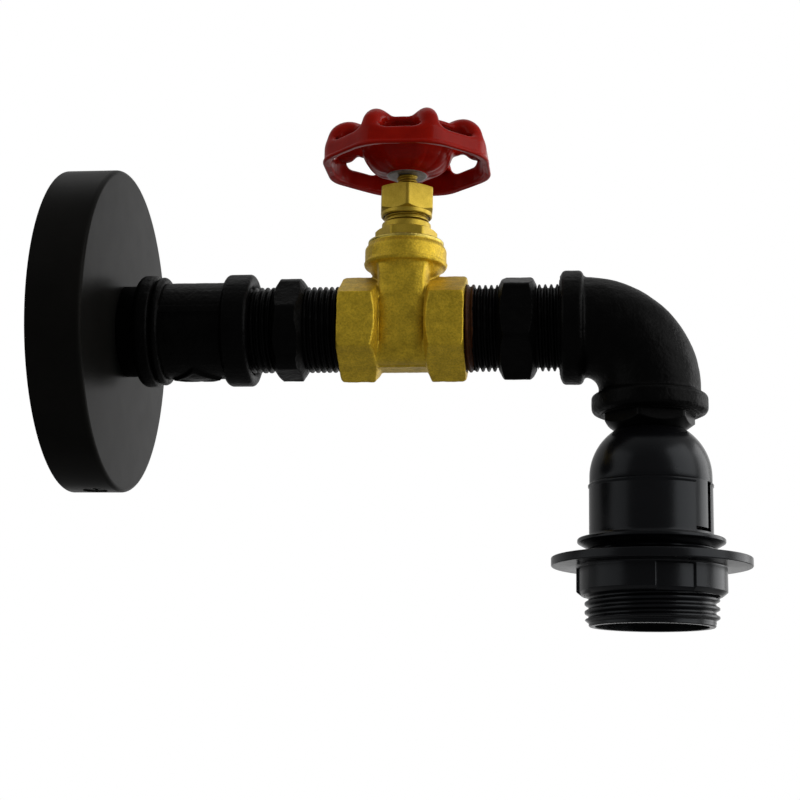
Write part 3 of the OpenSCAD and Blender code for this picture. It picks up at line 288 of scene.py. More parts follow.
def skin_field(name, field, low, high, step, pulls=4):
    """Mesh over the zero surface of a field: one point in each crossed cell, pulled onto the surface."""
    axes = [np.arange(a, b + step, step) for a, b in zip(low, high)]
    grid = np.stack(np.meshgrid(*axes, indexing="ij"), -1)
    inside = field(grid) < 0
    cells = [n - 1 for n in inside.shape]
    count = sum(
        inside[tuple(slice(at, n + at) for at, n in zip(corner, cells))].astype(np.int8)
        for corner in np.ndindex(2, 2, 2)
    )
    crossed = (count > 0) & (count < 8)
    number = np.full(crossed.shape, -1)
    number[crossed] = np.arange(crossed.sum())
    points = np.argwhere(crossed) * step + np.array(low) + step / 2
    start = points.copy()
    nudge, leash, flattest = step / 8, 0.8 * step, 0.05
    for _ in range(pulls):
        rises = [field(points + nudge * e) - field(points - nudge * e) for e in np.eye(3)]
        slope = np.stack(rises, -1) / (2 * nudge)
        steepness = np.maximum((slope**2).sum(-1, keepdims=True), flattest)
        points = points - field(points)[:, None] * slope / steepness
        points = np.clip(points, start - leash, start + leash)
    faces = []
    for axis in range(3):
        pair = [k for k in range(3) if k != axis]
        edges = np.argwhere(np.diff(inside, axis=axis))
        sides = edges[:, pair]
        edges = edges[((sides > 0) & (sides < np.array(number.shape)[pair])).all(1)]
        ring = []
        for back in ((0, 0), (1, 0), (1, 1), (0, 1)):
            cell = edges.copy()
            cell[:, pair] -= back
            ring.append(number[tuple(cell.T)])
        faces += np.stack(ring, -1).tolist()
    return make_mesh(name, points, faces, sharp=60)


# Shape functions for spin


def helix(angle, s, root, crest, pitch, fill=0.62):
    """Radius of a right-hand thread: flat crests and roots joined by sloping flanks."""
    phase = (s / pitch - angle / TURN) % 1
    rise = np.clip((1 - np.abs(2 * phase - 1) - (1 - fill) / 2) / fill, 0, 1)
    return root + (crest - root) * rise * rise * (3 - 2 * rise)


def hex_radius(angle, across, edge, turn=0):
    """Radius of a hexagon with rounded corners, a corner at the turn angle."""
    local = (angle - math.radians(turn)) % (TURN / 6) - TURN / 12
    flat = across / 2 / np.cos(local)
    return -soft_max(-flat, np.full_like(flat, edge - corner_of(across)), edge)


def hexed(across, turn, low, high, edge=0.2, soft=0.12):
    """Shape function that cuts flats between two distances along the axis."""

    def shape(angle, r, s):
        limit = hex_radius(angle, across, edge, turn)
        flats = -soft_max(-r, -np.broadcast_to(limit, r.shape), soft)
        return np.where((s > low - SLACK) & (s < high + SLACK), flats, r)

    return shape


# Materials


MATERIALS = {}
WHITE = (1, 1, 1)
PATCH_ENDS, SPOT_ENDS, PAINTED_SHADE_ENDS = (0.3, 0.7), (0.35, 0.6), (0.2, 0.7)
COARSE, MEDIUM, FINE = 2.0, 3.0, 6.0
# First input, second input and output of a Mix node for each kind of data
MIX_SOCKETS = {"FLOAT": (2, 3, 0), "RGBA": (6, 7, 2)}


def new_material(name):
    """Node tree and surface shader of a new material, kept under its slot's name."""
    material = bpy.data.materials.new(name + "_finish")
    MATERIALS[name] = material
    material.use_nodes = True
    return material.node_tree, material.node_tree.nodes["Principled BSDF"]


def feed(tree, socket, source):
    """Links an input to another node's output, or sets it to a value."""
    if isinstance(source, bpy.types.NodeSocket):
        tree.links.new(source, socket)
    else:
        socket.default_value = source


def add(tree, kind, *sources, **settings):
    """Node of a kind. Sources feed its first inputs, and settings its properties or inputs by name."""
    node = tree.nodes.new(kind)
    for key, value in settings.items():
        if hasattr(node, key):
            setattr(node, key, value)
        else:
            feed(tree, node.inputs[key.replace("_", " ")], value)
    for socket, source in zip(node.inputs, sources):
        feed(tree, socket, source)
    return node


def on_piece(tree):
    """Coordinates on the piece itself, in metres."""
    return add(tree, "ShaderNodeTexCoord").outputs["Object"]


def place_on(tree, scale):
    """Coordinates on the piece itself, in millimetres times a scale."""
    return add(tree, "ShaderNodeMapping", on_piece(tree), Scale=[scale / MM] * 3).outputs["Vector"]


def noise(tree, scale, detail=4.0):
    """Noise with features of about 1 / scale millimetres."""
    place = place_on(tree, scale)
    return add(tree, "ShaderNodeTexNoise", place, Scale=1.0, Detail=detail, Roughness=0.55).outputs["Fac"]


def ramp(tree, source, ends, a, b):
    """Colour ramp from colour a at the low end to colour b at the high end."""
    node = add(tree, "ShaderNodeValToRGB", source)
    for element, position, colour in zip(node.color_ramp.elements, ends, (a, b)):
        element.position = position
        element.color = (*colour, 1)
    return node.outputs["Color"]


def mapped(tree, source, low, high, at_low=0.0, at_high=1.0, kind="LINEAR"):
    """Value that goes from one level at low to another at high, and stays level beyond them."""
    ends = low, high, at_low, at_high
    return add(tree, "ShaderNodeMapRange", source, *ends, interpolation_type=kind).outputs["Result"]


def mixed(tree, share, a, b, kind="RGBA", **settings):
    """Value or colour a with a share of b."""
    node = add(tree, "ShaderNodeMix", share, data_type=kind, **settings)
    first, second, out = MIX_SOCKETS[kind]
    feed(tree, node.inputs[first], a)
    feed(tree, node.inputs[second], b)
    return node.outputs[out]


def darkened(tree, colour, shade):
    """A colour multiplied by another."""
    return mixed(tree, 1.0, colour, shade, blend_type="MULTIPLY")


def bumped(tree, source, depth, onto=None):
    """Bump of a depth in millimetres, on top of an earlier one."""
    node = add(tree, "ShaderNodeBump", Height=source, Strength=1.0, Distance=depth * MM)
    if onto:
        feed(tree, node.inputs["Normal"], onto)
    return node.outputs["Normal"]


def height_mask(tree, zero, one):
    """Mask that is 0 from one height on the piece and 1 from another, in millimetres."""
    height = add(tree, "ShaderNodeSeparateXYZ", on_piece(tree)).outputs["Z"]
    return mapped(tree, height, zero * MM, one * MM)


def painted_recess_shade(tree, dark, reach=5.0):
    """Colour of painted shade: white in the open and dark where other surfaces stand within a reach in
    millimetres.
    """
    shade = add(tree, "ShaderNodeAmbientOcclusion", samples=8, Distance=reach * MM)
    return ramp(tree, shade.outputs["AO"], PAINTED_SHADE_ENDS, dark, WHITE)


def surface(name, dark, light, patch, rough, grain, depth, wave=0.0, speckle=None, painted_shade=None, **shine):
    """Material of one substance: patchy colour, uneven gloss, fine grain and wide waviness.

    A speckle darkens the colour in fine spots, and painted shade darkens it in recesses.
    The rest are set on the shader.
    """
    tree, shader = new_material(name)
    colour = ramp(tree, noise(tree, patch), PATCH_ENDS, dark, light)
    if speckle:
        colour = darkened(tree, colour, ramp(tree, noise(tree, grain, MEDIUM), SPOT_ENDS, speckle, WHITE))
    # Painted shade: darker in recesses, by how near other surfaces stand
    if painted_shade:
        colour = darkened(tree, colour, painted_recess_shade(tree, painted_shade))
    gloss = mapped(tree, noise(tree, patch * 2.3, FINE), 0, 1, *rough)
    normal = bumped(tree, noise(tree, grain, MEDIUM), depth)
    if wave:
        normal = bumped(tree, noise(tree, patch, COARSE), wave, normal)
    for key, value in {"Base_Color": colour, "Roughness": gloss, "Normal": normal, **shine}.items():
        feed(tree, shader.inputs[key.replace("_", " ")], value)
    return tree, shader


def repainted(tree, shader, mask, dark, light, rough, grain, metallic):
    """Gives a material another finish where a mask is 1."""
    base, gloss, metal = (shader.inputs[key] for key in ("Base Color", "Roughness", "Metallic"))
    paint = ramp(tree, noise(tree, grain), PATCH_ENDS, dark, light)
    feed(tree, base, mixed(tree, mask, base.links[0].from_socket, paint))
    new_gloss = mapped(tree, noise(tree, grain), 0, 1, *rough)
    feed(tree, gloss, mixed(tree, mask, gloss.links[0].from_socket, new_gloss, "FLOAT"))
    feed(tree, metal, mapped(tree, mask, 0, 1, metal.default_value, metallic))


WARM, COOL = (1, 0.97, 0.92, 1), (0.9, 0.95, 1, 1)
surface(
    "plate_paint", (0.006, 0.0058, 0.0053), (0.009, 0.0087, 0.0079), 0.05, (0.28, 0.36), 3.0, 0.012,
    Specular_IOR_Level=0.027, Specular_Tint=WARM,
)
surface(
    "black_iron", (0.001, 0.001, 0.001), (0.0022, 0.0022, 0.0021), 0.3, (0.28, 0.5), 1.1, 0.14, wave=0.2,
    Specular_IOR_Level=0.058,
)
surface(
    "black_steel", (0.0012, 0.0012, 0.0012), (0.0024, 0.0024, 0.0024), 0.3, (0.26, 0.4), 2.4, 0.02,
    Specular_IOR_Level=0.09,
)
# Valve brass: painted shade in its recesses, with a brown tint for grime there
tree, shader = surface(
    "valve_brass", (0.63, 0.43, 0.025), (0.91, 0.635, 0.042), 0.3, (0.36, 0.54), 1.7, 0.16, wave=0.12,
    speckle=(0.76, 0.73, 0.66), painted_shade=(0.32, 0.28, 0.22), Metallic=0.7, Specular_IOR_Level=0.55,
)
turned_h, blur = 0.95, 0.1
ring_low = span("valve_body", Z)[1] - turned_h
turned_ring = height_mask(tree, ring_low, ring_low + blur)
repainted(tree, shader, turned_ring, (0.6, 0.46, 0.09), (0.72, 0.57, 0.13), (0.26, 0.36), 1.6, 1.0)
# Turned brass: painted shade in its recesses, with a brown tint for grime there
surface(
    "turned_brass", (0.54, 0.38, 0.035), (0.66, 0.47, 0.055), 0.4, (0.36, 0.48), 3.0, 0.02,
    speckle=(0.86, 0.84, 0.75), painted_shade=(0.36, 0.3, 0.22), Metallic=0.75, Specular_IOR_Level=0.55,
)
# Enamel: painted shade in its recesses, such as the dish under the wheel
tree, shader = surface(
    "wheel_enamel", (0.3, 0.005, 0.0012), (0.38, 0.008, 0.002), 0.2, (0.26, 0.36), 1.2, 0.02, wave=0.1,
    painted_shade=(0.35, 0.2, 0.2), Specular_IOR_Level=0.05, Coat_Weight=0.09, Coat_Roughness=0.04,
)
hub_low, bare_h, painted_h = span("handwheel", Z)[0], 0.2, 0.4
bare_hub = height_mask(tree, hub_low + painted_h, hub_low + bare_h)
repainted(tree, shader, bare_hub, (0.2, 0.19, 0.19), (0.42, 0.4, 0.4), (0.35, 0.55), 0.9, 0.6)
surface(
    "holder_plastic", (0.0025, 0.0025, 0.003), (0.0035, 0.0035, 0.0042), 0.12, (0.22, 0.3), 2.5, 0.006,
    wave=0.04, Specular_IOR_Level=0.25, Specular_Tint=COOL,
)
surface("zinc_steel", (0.48, 0.5, 0.53), (0.6, 0.6, 0.6), 0.4, (0.28, 0.42), 2.6, 0.012, Metallic=1.0)
surface("packing", (0.03, 0.03, 0.03), (0.06, 0.06, 0.06), 1.2, (0.7, 0.9), 1.6, 0.12)
surface(
    "sealant", (0.03, 0.008, 0.0015), (0.075, 0.022, 0.004), 0.8, (0.35, 0.6), 1.4, 0.12,
    Specular_IOR_Level=0.2,
)
surface("insert_ceramic", (0.66, 0.64, 0.6), (0.76, 0.74, 0.7), 0.2, (0.25, 0.4), 2.0, 0.02, Coat_Weight=0.4)
surface("block_plastic", (0.7, 0.69, 0.65), (0.78, 0.77, 0.73), 0.15, (0.4, 0.5), 2.4, 0.015)
surface("live_insulation", (0.1, 0.04, 0.015), (0.14, 0.06, 0.025), 0.3, (0.4, 0.5), 3.0, 0.01)
surface("neutral_insulation", (0.02, 0.07, 0.32), (0.03, 0.1, 0.4), 0.3, (0.4, 0.5), 3.0, 0.01)
green, yellow, stripe_scale, stripe_ends = (0.04, 0.22, 0.03), (0.62, 0.5, 0.03), 0.15, (0.45, 0.55)
tree, shader = surface("earth_insulation", green, yellow, 0.2, (0.4, 0.5), 3.0, 0.01)
stripes = add(
    tree, "ShaderNodeTexWave", place_on(tree, stripe_scale), bands_direction="Y", Scale=1.0, Distortion=1.0
)
feed(tree, shader.inputs["Base Color"], ramp(tree, stripes.outputs["Fac"], stripe_ends, green, yellow))


def finish_as(obj, node):
    """Gives an object the material of a CAD node's slot, and no other."""
    obj.data.materials.clear()
    obj.data.materials.append(MATERIALS[slot_of_node[node]])


def stand_for(obj, node):
    """The piece takes the place of a CAD node, on the same body and in the same material slot."""
    finish_as(obj, node)
    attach(obj, body_of_node[node])
    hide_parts(node)


# Wall plate: pressed cup with a rounded front edge and a screw hole above and below


def make_wall_plate():
    depth = span("wall_plate", X)[1]
    radius = span("wall_plate", Y)[1]
    wall, edge, inside_edge, lip = 1.5, 1.4, 0.4, 0.35
    outline = (
        [(FEMALE_R, depth - wall), (FEMALE_R, depth)]
        + round_corner(radius, depth, edge, 90, 0, 16)
        + round_corner(radius, 0, lip, 0, -90, 4)
        + [(radius - wall, 0)]
        + round_corner(radius - wall, depth - wall, inside_edge, 0, 90, 6)
    )
    plate = spin("wall_plate_cup", outline, along_x, around=360)
    screw_x = middle("side_screws", X)
    hole_r, past = 3.8, radius + 2
    hole = [(0.0, -past), (hole_r, -past), (hole_r, past), (0.0, past)]
    cut(plate, spin("drill", hole, lambda u, v, s: np.stack([screw_x + v, u, s], -1), around=66))
    stand_for(plate, "wall_plate")


# Behind the plate: bent bracket, terminal block, lock nut and plate nipple


def make_bracket():
    tab_l = span("mounting_bracket", X)[1]
    half_w = span("mounting_bracket", Y)[1]
    tab_z = span("mounting_bracket", Z)[1]
    strap_t, bend_r, edge, slot_half, slot_r, hole_r = 2.0, 2.6, 0.3, 4.5, 2.5, 2.05
    slot_z = record["mounts"][0]["dims"]["spacing_y_mm"] / 2
    screw_x = middle("side_screws", X)
    earth_z = middle("earth_screw", Z)

    def field(p):
        x, y, z = np.moveaxis(p, -1, 0)
        outer = rounded_rectangle(x, z, (0, -tab_z), (2 * tab_l, tab_z), bend_r)
        low, high = (strap_t, strap_t - tab_z), (3 * tab_l, tab_z - strap_t)
        inner = rounded_rectangle(x, z, low, high, bend_r - strap_t)
        strap = trimmed(np.maximum(outer, -inner), (x - tab_l, edge), (np.abs(y) - half_w, edge))
        slots = np.hypot(y, np.maximum(np.abs(np.abs(z) - slot_z) - slot_half, 0)) - slot_r
        holes = np.minimum(np.hypot(x - screw_x, y), np.hypot(y, z - earth_z)) - hole_r
        return soft_max(strap, -np.minimum(slots, holes), edge)

    corners = (-1, -half_w - 1, -tab_z - 1), (tab_l + 1, half_w + 1, tab_z + 1)
    stand_for(skin_field("mounting_bracket_bent", field, *corners, step=0.4), "mounting_bracket")


def make_block():
    lows, highs = zip(*(span("terminal_block", axis) for axis in (X, Y, Z)))
    mid_y, half_y = middle("terminal_block", Y), (highs[Y] - lows[Y]) / 2
    pitch, groove_half, groove_depth, notch, edge, cut_edge = 8.0, 0.6, 4.5, 0.7, 0.5, 0.3
    wire_x, entry_r, screw_r, screw_depth = 5.2, 1.4, 1.55, 1.4

    def field(p):
        x, y, z = np.moveaxis(p, -1, 0)
        box = rounded_rectangle(y, z, lows[1:], highs[1:], edge)
        box = soft_max(box, np.maximum(lows[X] - x, x - highs[X]), edge)
        between = np.abs(np.abs(z) - pitch / 2) - groove_half
        out = np.abs(y - mid_y)
        groove = np.maximum(between, np.minimum(x - lows[X] - groove_depth, half_y - notch - out))
        way = (z + pitch / 2) % pitch - pitch / 2
        entry = np.hypot(x - wire_x, way) - entry_r
        screw = np.maximum(np.hypot(out - half_y / 2, way) - screw_r, x - lows[X] - screw_depth)
        return soft_max(box, -np.minimum(np.minimum(groove, entry), screw), cut_edge)

    corners = [a - 1 for a in lows], [b + 1 for b in highs]
    stand_for(skin_field("terminal_block_moulded", field, *corners, step=0.3), "terminal_block")


def make_plate_joint():
    start, end = span("lock_nut", X)
    across, chamfer, mouth, turn, foot_in, bevel = 36.0, 1.5, 0.8, 30, 0.3, 0.2
    corner_r = corner_of(across)
    outline = (
        [(FEMALE_R, start + mouth), (FEMALE_R + mouth, start)]
        + slant((across / 2 - foot_in, start), (corner_r, start + chamfer))
        + run(corner_r, start + chamfer + bevel / 2, end - bevel, step=0.5)
        + [(corner_r - bevel, end), (FEMALE_R, end)]
    )
    flats = hexed(across, turn, start, end)
    stand_for(spin("lock_nut_cut", outline, along_x, flats, sharp=24), "lock_nut")
    first, last = span("plate_nipple", X)
    tube = [(PIPE_BORE_R, first)] + run(PIPE_R, first, last, PIPE_PITCH / 10) + [(PIPE_BORE_R, last)]

    def shape(angle, r, s):
        crest = np.minimum(PIPE_R, PIPE_ROOT_R + np.minimum(s - first, last - s))
        return np.where(r > PIPE_BORE_R + 1, helix(angle, s, PIPE_ROOT_R, crest, PIPE_PITCH), r)

    stand_for(spin("plate_nipple_threaded", tube, along_x, shape, around=180), "plate_nipple")


# Coupling: cast socket with two bands, a bead, two long ribs and a plain pad underneath


def make_coupling():
    start, end = span("coupling", X)
    neck_r, body_r, band_r, bead_r, groove_r, edge = 14.1, 15.0, 17.4, 16.85, 16.0, 1.5
    neck_l, wall_band, far_band, mouth = 5.2, 5.3, 8.4, 1.2
    bead_gap, bead, round_edge, small_edge, fillet, chamfer = 0.4, 2.6, 2.2, 0.8, 0.5, 0.3
    band_one = start + neck_l
    band_one_end = band_one + wall_band
    bead_mid = band_one_end + bead_gap + bead / 2
    bead_end = bead_mid + bead / 2
    band_two = end - far_band
    outline = (
        [(FEMALE_R, start), (neck_r - chamfer, start), (neck_r, start + chamfer)]
        + round_corner(neck_r, band_one, fillet, 180, 90, 4)
        + round_corner(band_r, band_one, round_edge, -90, 0)
        + round_corner(band_r, band_one_end, small_edge, 0, 60, 6)
        + [(groove_r, band_one_end + bead_gap / 2)]
        + arc((bead_r - bead / 2, bead_mid), bead / 2, -60, 90)
        + run(body_r, bead_end + 0.02, band_two - fillet, step=0.3)
        + round_corner(body_r, band_two, fillet, 180, 90, 4)
        + band(band_two, end, band_r, edge)
        + [(FEMALE_R + mouth, end), (FEMALE_R, end - mouth)]
    )
    rib_turn, rib_half, rib_h, rib_edge = math.radians(12), 1.2, 0.9, 0.45
    pad_x = (bead_end + band_two) / 2
    pad_half_l, pad_half_w, pad_h, pad_edge, pad_rim, pad_sunk = 7.5, 6.7, 0.8, 0.45, 1.1, 0.35
    pad_slope = pad_half_l * pad_half_w / math.hypot(pad_half_l, pad_half_w)

    def shape(angle, r, s):
        outer = r > neck_r + chamfer
        across = body_r * np.sin(angle - math.pi + rib_turn)
        across = np.minimum(np.abs(across), np.abs(body_r * np.sin(angle + rib_turn)))
        rib = rib_h * np.clip((rib_half + rib_edge / 2 - across) / rib_edge, 0, 1)
        rib = np.where((s > bead_mid) & (s < band_two + 1), np.maximum(r, body_r + rib), r)
        pad = (np.abs(s - pad_x) / pad_half_l + np.abs(body_r * np.cos(angle)) / pad_half_w - 1) * pad_slope
        raised = pad_h * np.clip(0.5 - pad / pad_edge, 0, 1)
        raised = raised - pad_sunk * np.clip((-pad - pad_rim) / pad_edge, 0, 1)
        on_pad = (np.sin(angle) < 0) & (pad < pad_edge) & (r < body_r + pad_h)
        grown = np.where(on_pad, np.maximum(rib, body_r + raised), rib)
        place = along_x(r * np.cos(angle), r * np.sin(angle), s)
        return np.where(outer, grown - casting(place, (0.12, 7.0), (0.06, 2.2)), r)

    stand_for(spin("coupling_cast", outline, along_x, shape, around=480, sharp=50), "coupling")


# Hex nipples: a hexagon with turned ends and true helical threads either side of it


def make_nipple(node, hex_start, hex_l, turn, corner_r):
    start, end = span(node, X)
    hex_end = hex_start + hex_l
    across, chamfer, low_r, bevel, runout = 29.6, 1.9, 13.3, 0.2, 0.35
    fine = PIPE_PITCH / 14
    low, high = hex_start + chamfer, hex_end - chamfer
    foot, crown = (low_r, hex_start + bevel / 2), (low_r, hex_end - bevel / 2)
    outline = (
        [(PIPE_BORE_R, start)]
        + run(PIPE_R, start, hex_start, fine)
        + [(low_r - bevel, hex_start + 0.005)]
        + hex_side(foot, low, high, crown, corner_r, step=0.5, inset=bevel)
        + [(low_r - bevel, hex_end - 0.005)]
        + run(PIPE_R, hex_end, end, fine)
        + [(PIPE_BORE_R, end)]
    )
    flats = hexed(across, turn, hex_start + 0.004, hex_end - 0.004)

    def shape(angle, r, s):
        thread = helix(angle, s, PIPE_ROOT_R, PIPE_R, PIPE_PITCH)
        edge = np.minimum(np.abs(s - hex_start), np.abs(s - hex_end))
        thread = np.where(edge < runout, PIPE_ROOT_R, thread)
        threaded = ((s < hex_start + 0.004) | (s > hex_end - 0.004)) & (r > PIPE_BORE_R + 1)
        place = along_x(r * np.cos(angle), r * np.sin(angle), s)
        cast = flats(angle, r, s) - casting(place, (0.1, 6.0), (0.04, 2.0))
        return np.where(threaded, thread, np.where(r > PIPE_BORE_R + 1, cast, r))

    stand_for(spin(node + "_turned", outline, along_x, shape, around=288, sharp=30), node)


# Valve body: cast brass with two hexagon ends, a flat-sided gate housing and a round collar


def make_valve_body():
    start, end = span("valve_body", X)
    top = span("valve_body", Z)[1]
    half = (end - start) / 2
    across, hex_l, slope_l, end_chamfer = 29.0, 10.4, 1.9, 0.9
    hex_edge, end_edge, chamfer_edge, inner_edge = 0.35, 0.4, 0.3, 0.45
    top_edge, side_edge, waist_edge, seam_edge, under_edge = 0.5, 0.4, 2.4, 0.2, 0.6
    seam_fillet, neck_fillet, hex_fillet, collar_fillet = 0.1, 1.0, 0.6, 0.8
    corner_r = corner_of(across)
    inner = half - hex_l
    housing_w, housing_d, housing_low, housing_edge = 7.85, 11.4, -12.8, 7.0
    seam_w, seam_h, waist_in = 4.3, 0.35, 0.3
    collar_r, collar_low, slope_in, slope_h, collar_edge, cove = 12.65, 19.2, 4.2, 5.0, 2.4, 0.8
    ring_r, ring_h, ring_edge, ring_deep, groove_out, groove_size = 11.7, 0.9, 0.25, 4, 0.15, 0.3
    bore_r, thread_depth, passage_r, cavity_r, bonnet_r, bonnet_depth = FEMALE_R, 10.6, 8.5, 6.5, 8.08, 6.0

    def field(p):
        x, y, z = p[..., 0] - STEM_X, p[..., 1], p[..., 2]
        out = np.abs(x)
        pipe = np.hypot(y, z)
        stem = np.hypot(x, y)
        end_cut = (pipe - corner_r + end_chamfer + out - half) / math.sqrt(2)
        fall = corner_r + housing_low
        inner_cut = ((pipe - corner_r) * slope_l + (inner - out) * fall) / math.hypot(slope_l, fall)
        inner_cut = np.maximum(inner_cut, inner - slope_l - out)
        hexes = hexagon(y, z, across, hex_edge)
        hexes = trimmed(hexes, (out - half, end_edge), (end_cut, chamfer_edge), (inner_cut, inner_edge))
        belly = housing_low + seam_h
        housing = rounded_rectangle(y, z, (-housing_d, belly), (housing_d, 3 * housing_edge), housing_edge)
        housing = trimmed(housing, (z - collar_low - 1, top_edge), (out - housing_w, side_edge))
        housing = soft_max(housing, stem - collar_r + waist_in, waist_edge)
        seam = soft_max(np.abs(y) - seam_w, np.abs(z - belly) - seam_h, seam_edge)
        housing = soft_min(housing, np.maximum(seam, out - housing_w), seam_fillet)
        collar = rounded_rectangle(stem, z, (-collar_r, 0), (collar_r, top - ring_h), collar_edge)
        collar = soft_max(collar, collar_low - z, under_edge)
        slope_r, narrow = collar_r - cove, slope_in - cove
        neck = ((stem - slope_r) * slope_h - (z - collar_low) * narrow) / math.hypot(narrow, slope_h)
        neck = np.maximum(neck, np.abs(z - collar_low + slope_h) - slope_h - 1)
        collar = soft_min(collar, neck, neck_fillet)
        ring = rounded_rectangle(stem, z, (-ring_r, top - ring_deep), (ring_r, top), ring_edge)
        whole = soft_min(soft_min(hexes, housing, hex_fillet), collar, collar_fillet)
        whole = whole + casting(p, (0.1, 6.0), (0.05, 2.3))
        whole = np.minimum(whole, ring)
        whole = np.maximum(whole, groove_size - np.hypot(stem - ring_r - groove_out, z - top + ring_h))
        threads = np.maximum(pipe - bore_r, half - thread_depth - out)
        cavity = np.maximum(stem - cavity_r, -z)
        cavity = np.minimum(cavity, np.maximum(stem - bonnet_r, top - bonnet_depth - z))
        return np.maximum(whole, -np.minimum(np.minimum(threads, pipe - passage_r), cavity))

    low = (start - 1, -half + 1, -corner_r - 1)
    high = (end + 1, half - 1, top + 1)
    stand_for(skin_field("valve_body_cast", field, low, high, step=0.3), "valve_body")


# Bonnet and packing nut: turned brass with cut hexagons


def make_bonnet():
    low, top = span("valve_bonnet", Z)
    seat = span("valve_body", Z)[1]
    bore_r, thread_r, across, step_r, neck_r, neck_root = 3.3, 8.0, 17.0, 7.6, 6.9, 6.3
    foot_r, crown_r, chamfer_top, chamfer_low, hex_h, step_h = 9.3, 8.8, 0.55, 0.3, 3.6, 2.4
    pitch, turn, edge, end_in = 1.25, 8, 0.5, 0.4
    hex_top = seat + hex_h
    neck = hex_top + step_h
    foot, crown = (foot_r, seat), (crown_r, hex_top)
    side = seat + chamfer_low, hex_top - chamfer_top
    outline = (
        [(bore_r, low), (thread_r, low), (thread_r, seat - 0.01)]
        + hex_side(foot, *side, crown, corner_of(across), step=0.4, rows=(5, 8))
        + [(step_r, hex_top + 0.01)]
        + round_corner(step_r, neck, edge, 0, 90, 5)
        + run(neck_r, neck + 0.05, top - 0.05, pitch / 12)
        + [(neck_root - end_in, top), (bore_r, top)]
    )
    flats = hexed(across, turn, seat, hex_top)

    def shape(angle, r, s):
        thread = helix(angle, s, neck_root, neck_r, pitch)
        return np.where((s > neck + 0.04) & (r > neck_root), thread, flats(angle, r, s))

    stand_for(spin("valve_bonnet_turned", outline, along_stem, shape, sharp=24), "valve_bonnet")


def make_packing_nut():
    low, top = span("packing_nut", Z)
    across, turn, skirt_h, slope_low, slope_top = 15.9, -22, 1.4, 0.9, 0.5
    skirt_r, bore_r, hole_r = across / 2 - 0.05, 6.98, 3.55
    edge, bevel, mouth_h, bore_mouth, hole_mouth, plain_h = 0.5, 0.2, 0.4, 0.3, 0.5, 0.6
    skirt_top = low + skirt_h
    ceiling = span("gland_ring", Z)[1]
    side = skirt_top + slope_low, top - slope_top
    foot, crown = (skirt_r, skirt_top), (skirt_r - bevel, top - 0.05)
    outline = (
        [(bore_r, ceiling), (bore_r, low + mouth_h), (bore_r + bore_mouth, low)]
        + round_corner(skirt_r, low, edge, -90, 0, 5)
        + hex_side(foot, *side, crown, corner_of(across), step=0.5, rows=(14, 8))
        + [(skirt_r - edge, top), (hole_r + hole_mouth, top), (hole_r, top - mouth_h), (hole_r, ceiling)]
    )
    shape = hexed(across, turn, low + plain_h, top)
    stand_for(spin("packing_nut_turned", outline, along_stem, shape, sharp=24), "packing_nut")


# Stem: bare thread under the wheel, a square for its hub and a threaded tip


def make_stem():
    low, top = span("valve_stem", Z)
    nut_top = span("packing_nut", Z)[1]
    hub = span("handwheel", Z)[0]
    hub_top = span("wheel_washer", Z)[0]
    stem_r, root_r, collar_r, square, tip_r, tip_root = 3.2, 2.75, 4.7, 2.2, 2.0, 1.7
    tail, collar_t, hidden, pitch, tip_pitch = 6.0, 2.2, 1.5, 1.6, 0.7
    chamfer, tip_chamfer, corner_cut = 0.4, 0.3, 0.15
    corner = square * math.sqrt(2)
    outline = (
        [(0.0, low), (stem_r - chamfer, low), (stem_r, low + chamfer), (stem_r, low + tail)]
        + [(collar_r, low + tail), (collar_r, low + tail + collar_t), (stem_r, low + tail + collar_t)]
        + run(stem_r, nut_top - hidden, hub - 0.02, pitch / 14)
        + run(corner, hub, hub_top, step=1.0)
        + run(tip_r, hub_top + 0.01, top - tip_chamfer, tip_pitch / 10)
        + [(tip_root - tip_chamfer, top), (0.0, top)]
    )

    def shape(angle, r, s):
        on_thread = (s > nut_top - hidden) & (s < hub - 0.01)
        on_square = (s > hub - 0.01) & (s < hub_top + 0.005)
        on_tip = (s > hub_top + 0.005) & (s < top - tip_chamfer + 0.01)
        flat = square / np.maximum(np.abs(np.cos(angle)), np.abs(np.sin(angle)))
        grown = np.where(on_thread, helix(angle, s, root_r, stem_r, pitch), r)
        grown = np.where(on_square, np.minimum(r, np.minimum(flat, corner - corner_cut)), grown)
        return np.where(on_tip, helix(angle, s, tip_root, tip_r, tip_pitch), grown)

    stand_for(spin("valve_stem_turned", outline, along_stem, shape, around=144, sharp=30), "valve_stem")


def make_wheel_nut_and_washer():
    low, top = span("wheel_nut", Z)
    across, hole_r, chamfer, crown_in, low_mouth, top_mouth = 8.0, 2.06, 0.45, 0.1, 0.2, 0.3
    foot, crown = (across / 2, low), (across / 2 - crown_in, top)
    outline = (
        [(hole_r, low + low_mouth), (hole_r + low_mouth, low)]
        + hex_side(foot, low + chamfer, top - chamfer, crown, corner_of(across), step=0.4, rows=(6, 6))
        + [(hole_r + top_mouth, top), (hole_r, top - top_mouth)]
    )
    flats = hexed(across, 0, low, top, edge=0.15)
    stand_for(spin("wheel_nut_turned", outline, along_stem, flats, sharp=24), "wheel_nut")
    low, top = span("wheel_washer", Z)
    outer, edge = span("wheel_washer", Y)[1], 0.25
    washer = [(hole_r, low), (outer - edge, low)] + band(low, top, outer, edge) + [(hole_r, top)]
    stand_for(spin("wheel_washer_pressed", washer, along_stem, sharp=40), "wheel_washer")


# Handwheel: cast and enamelled, eight raised grips round a dished middle


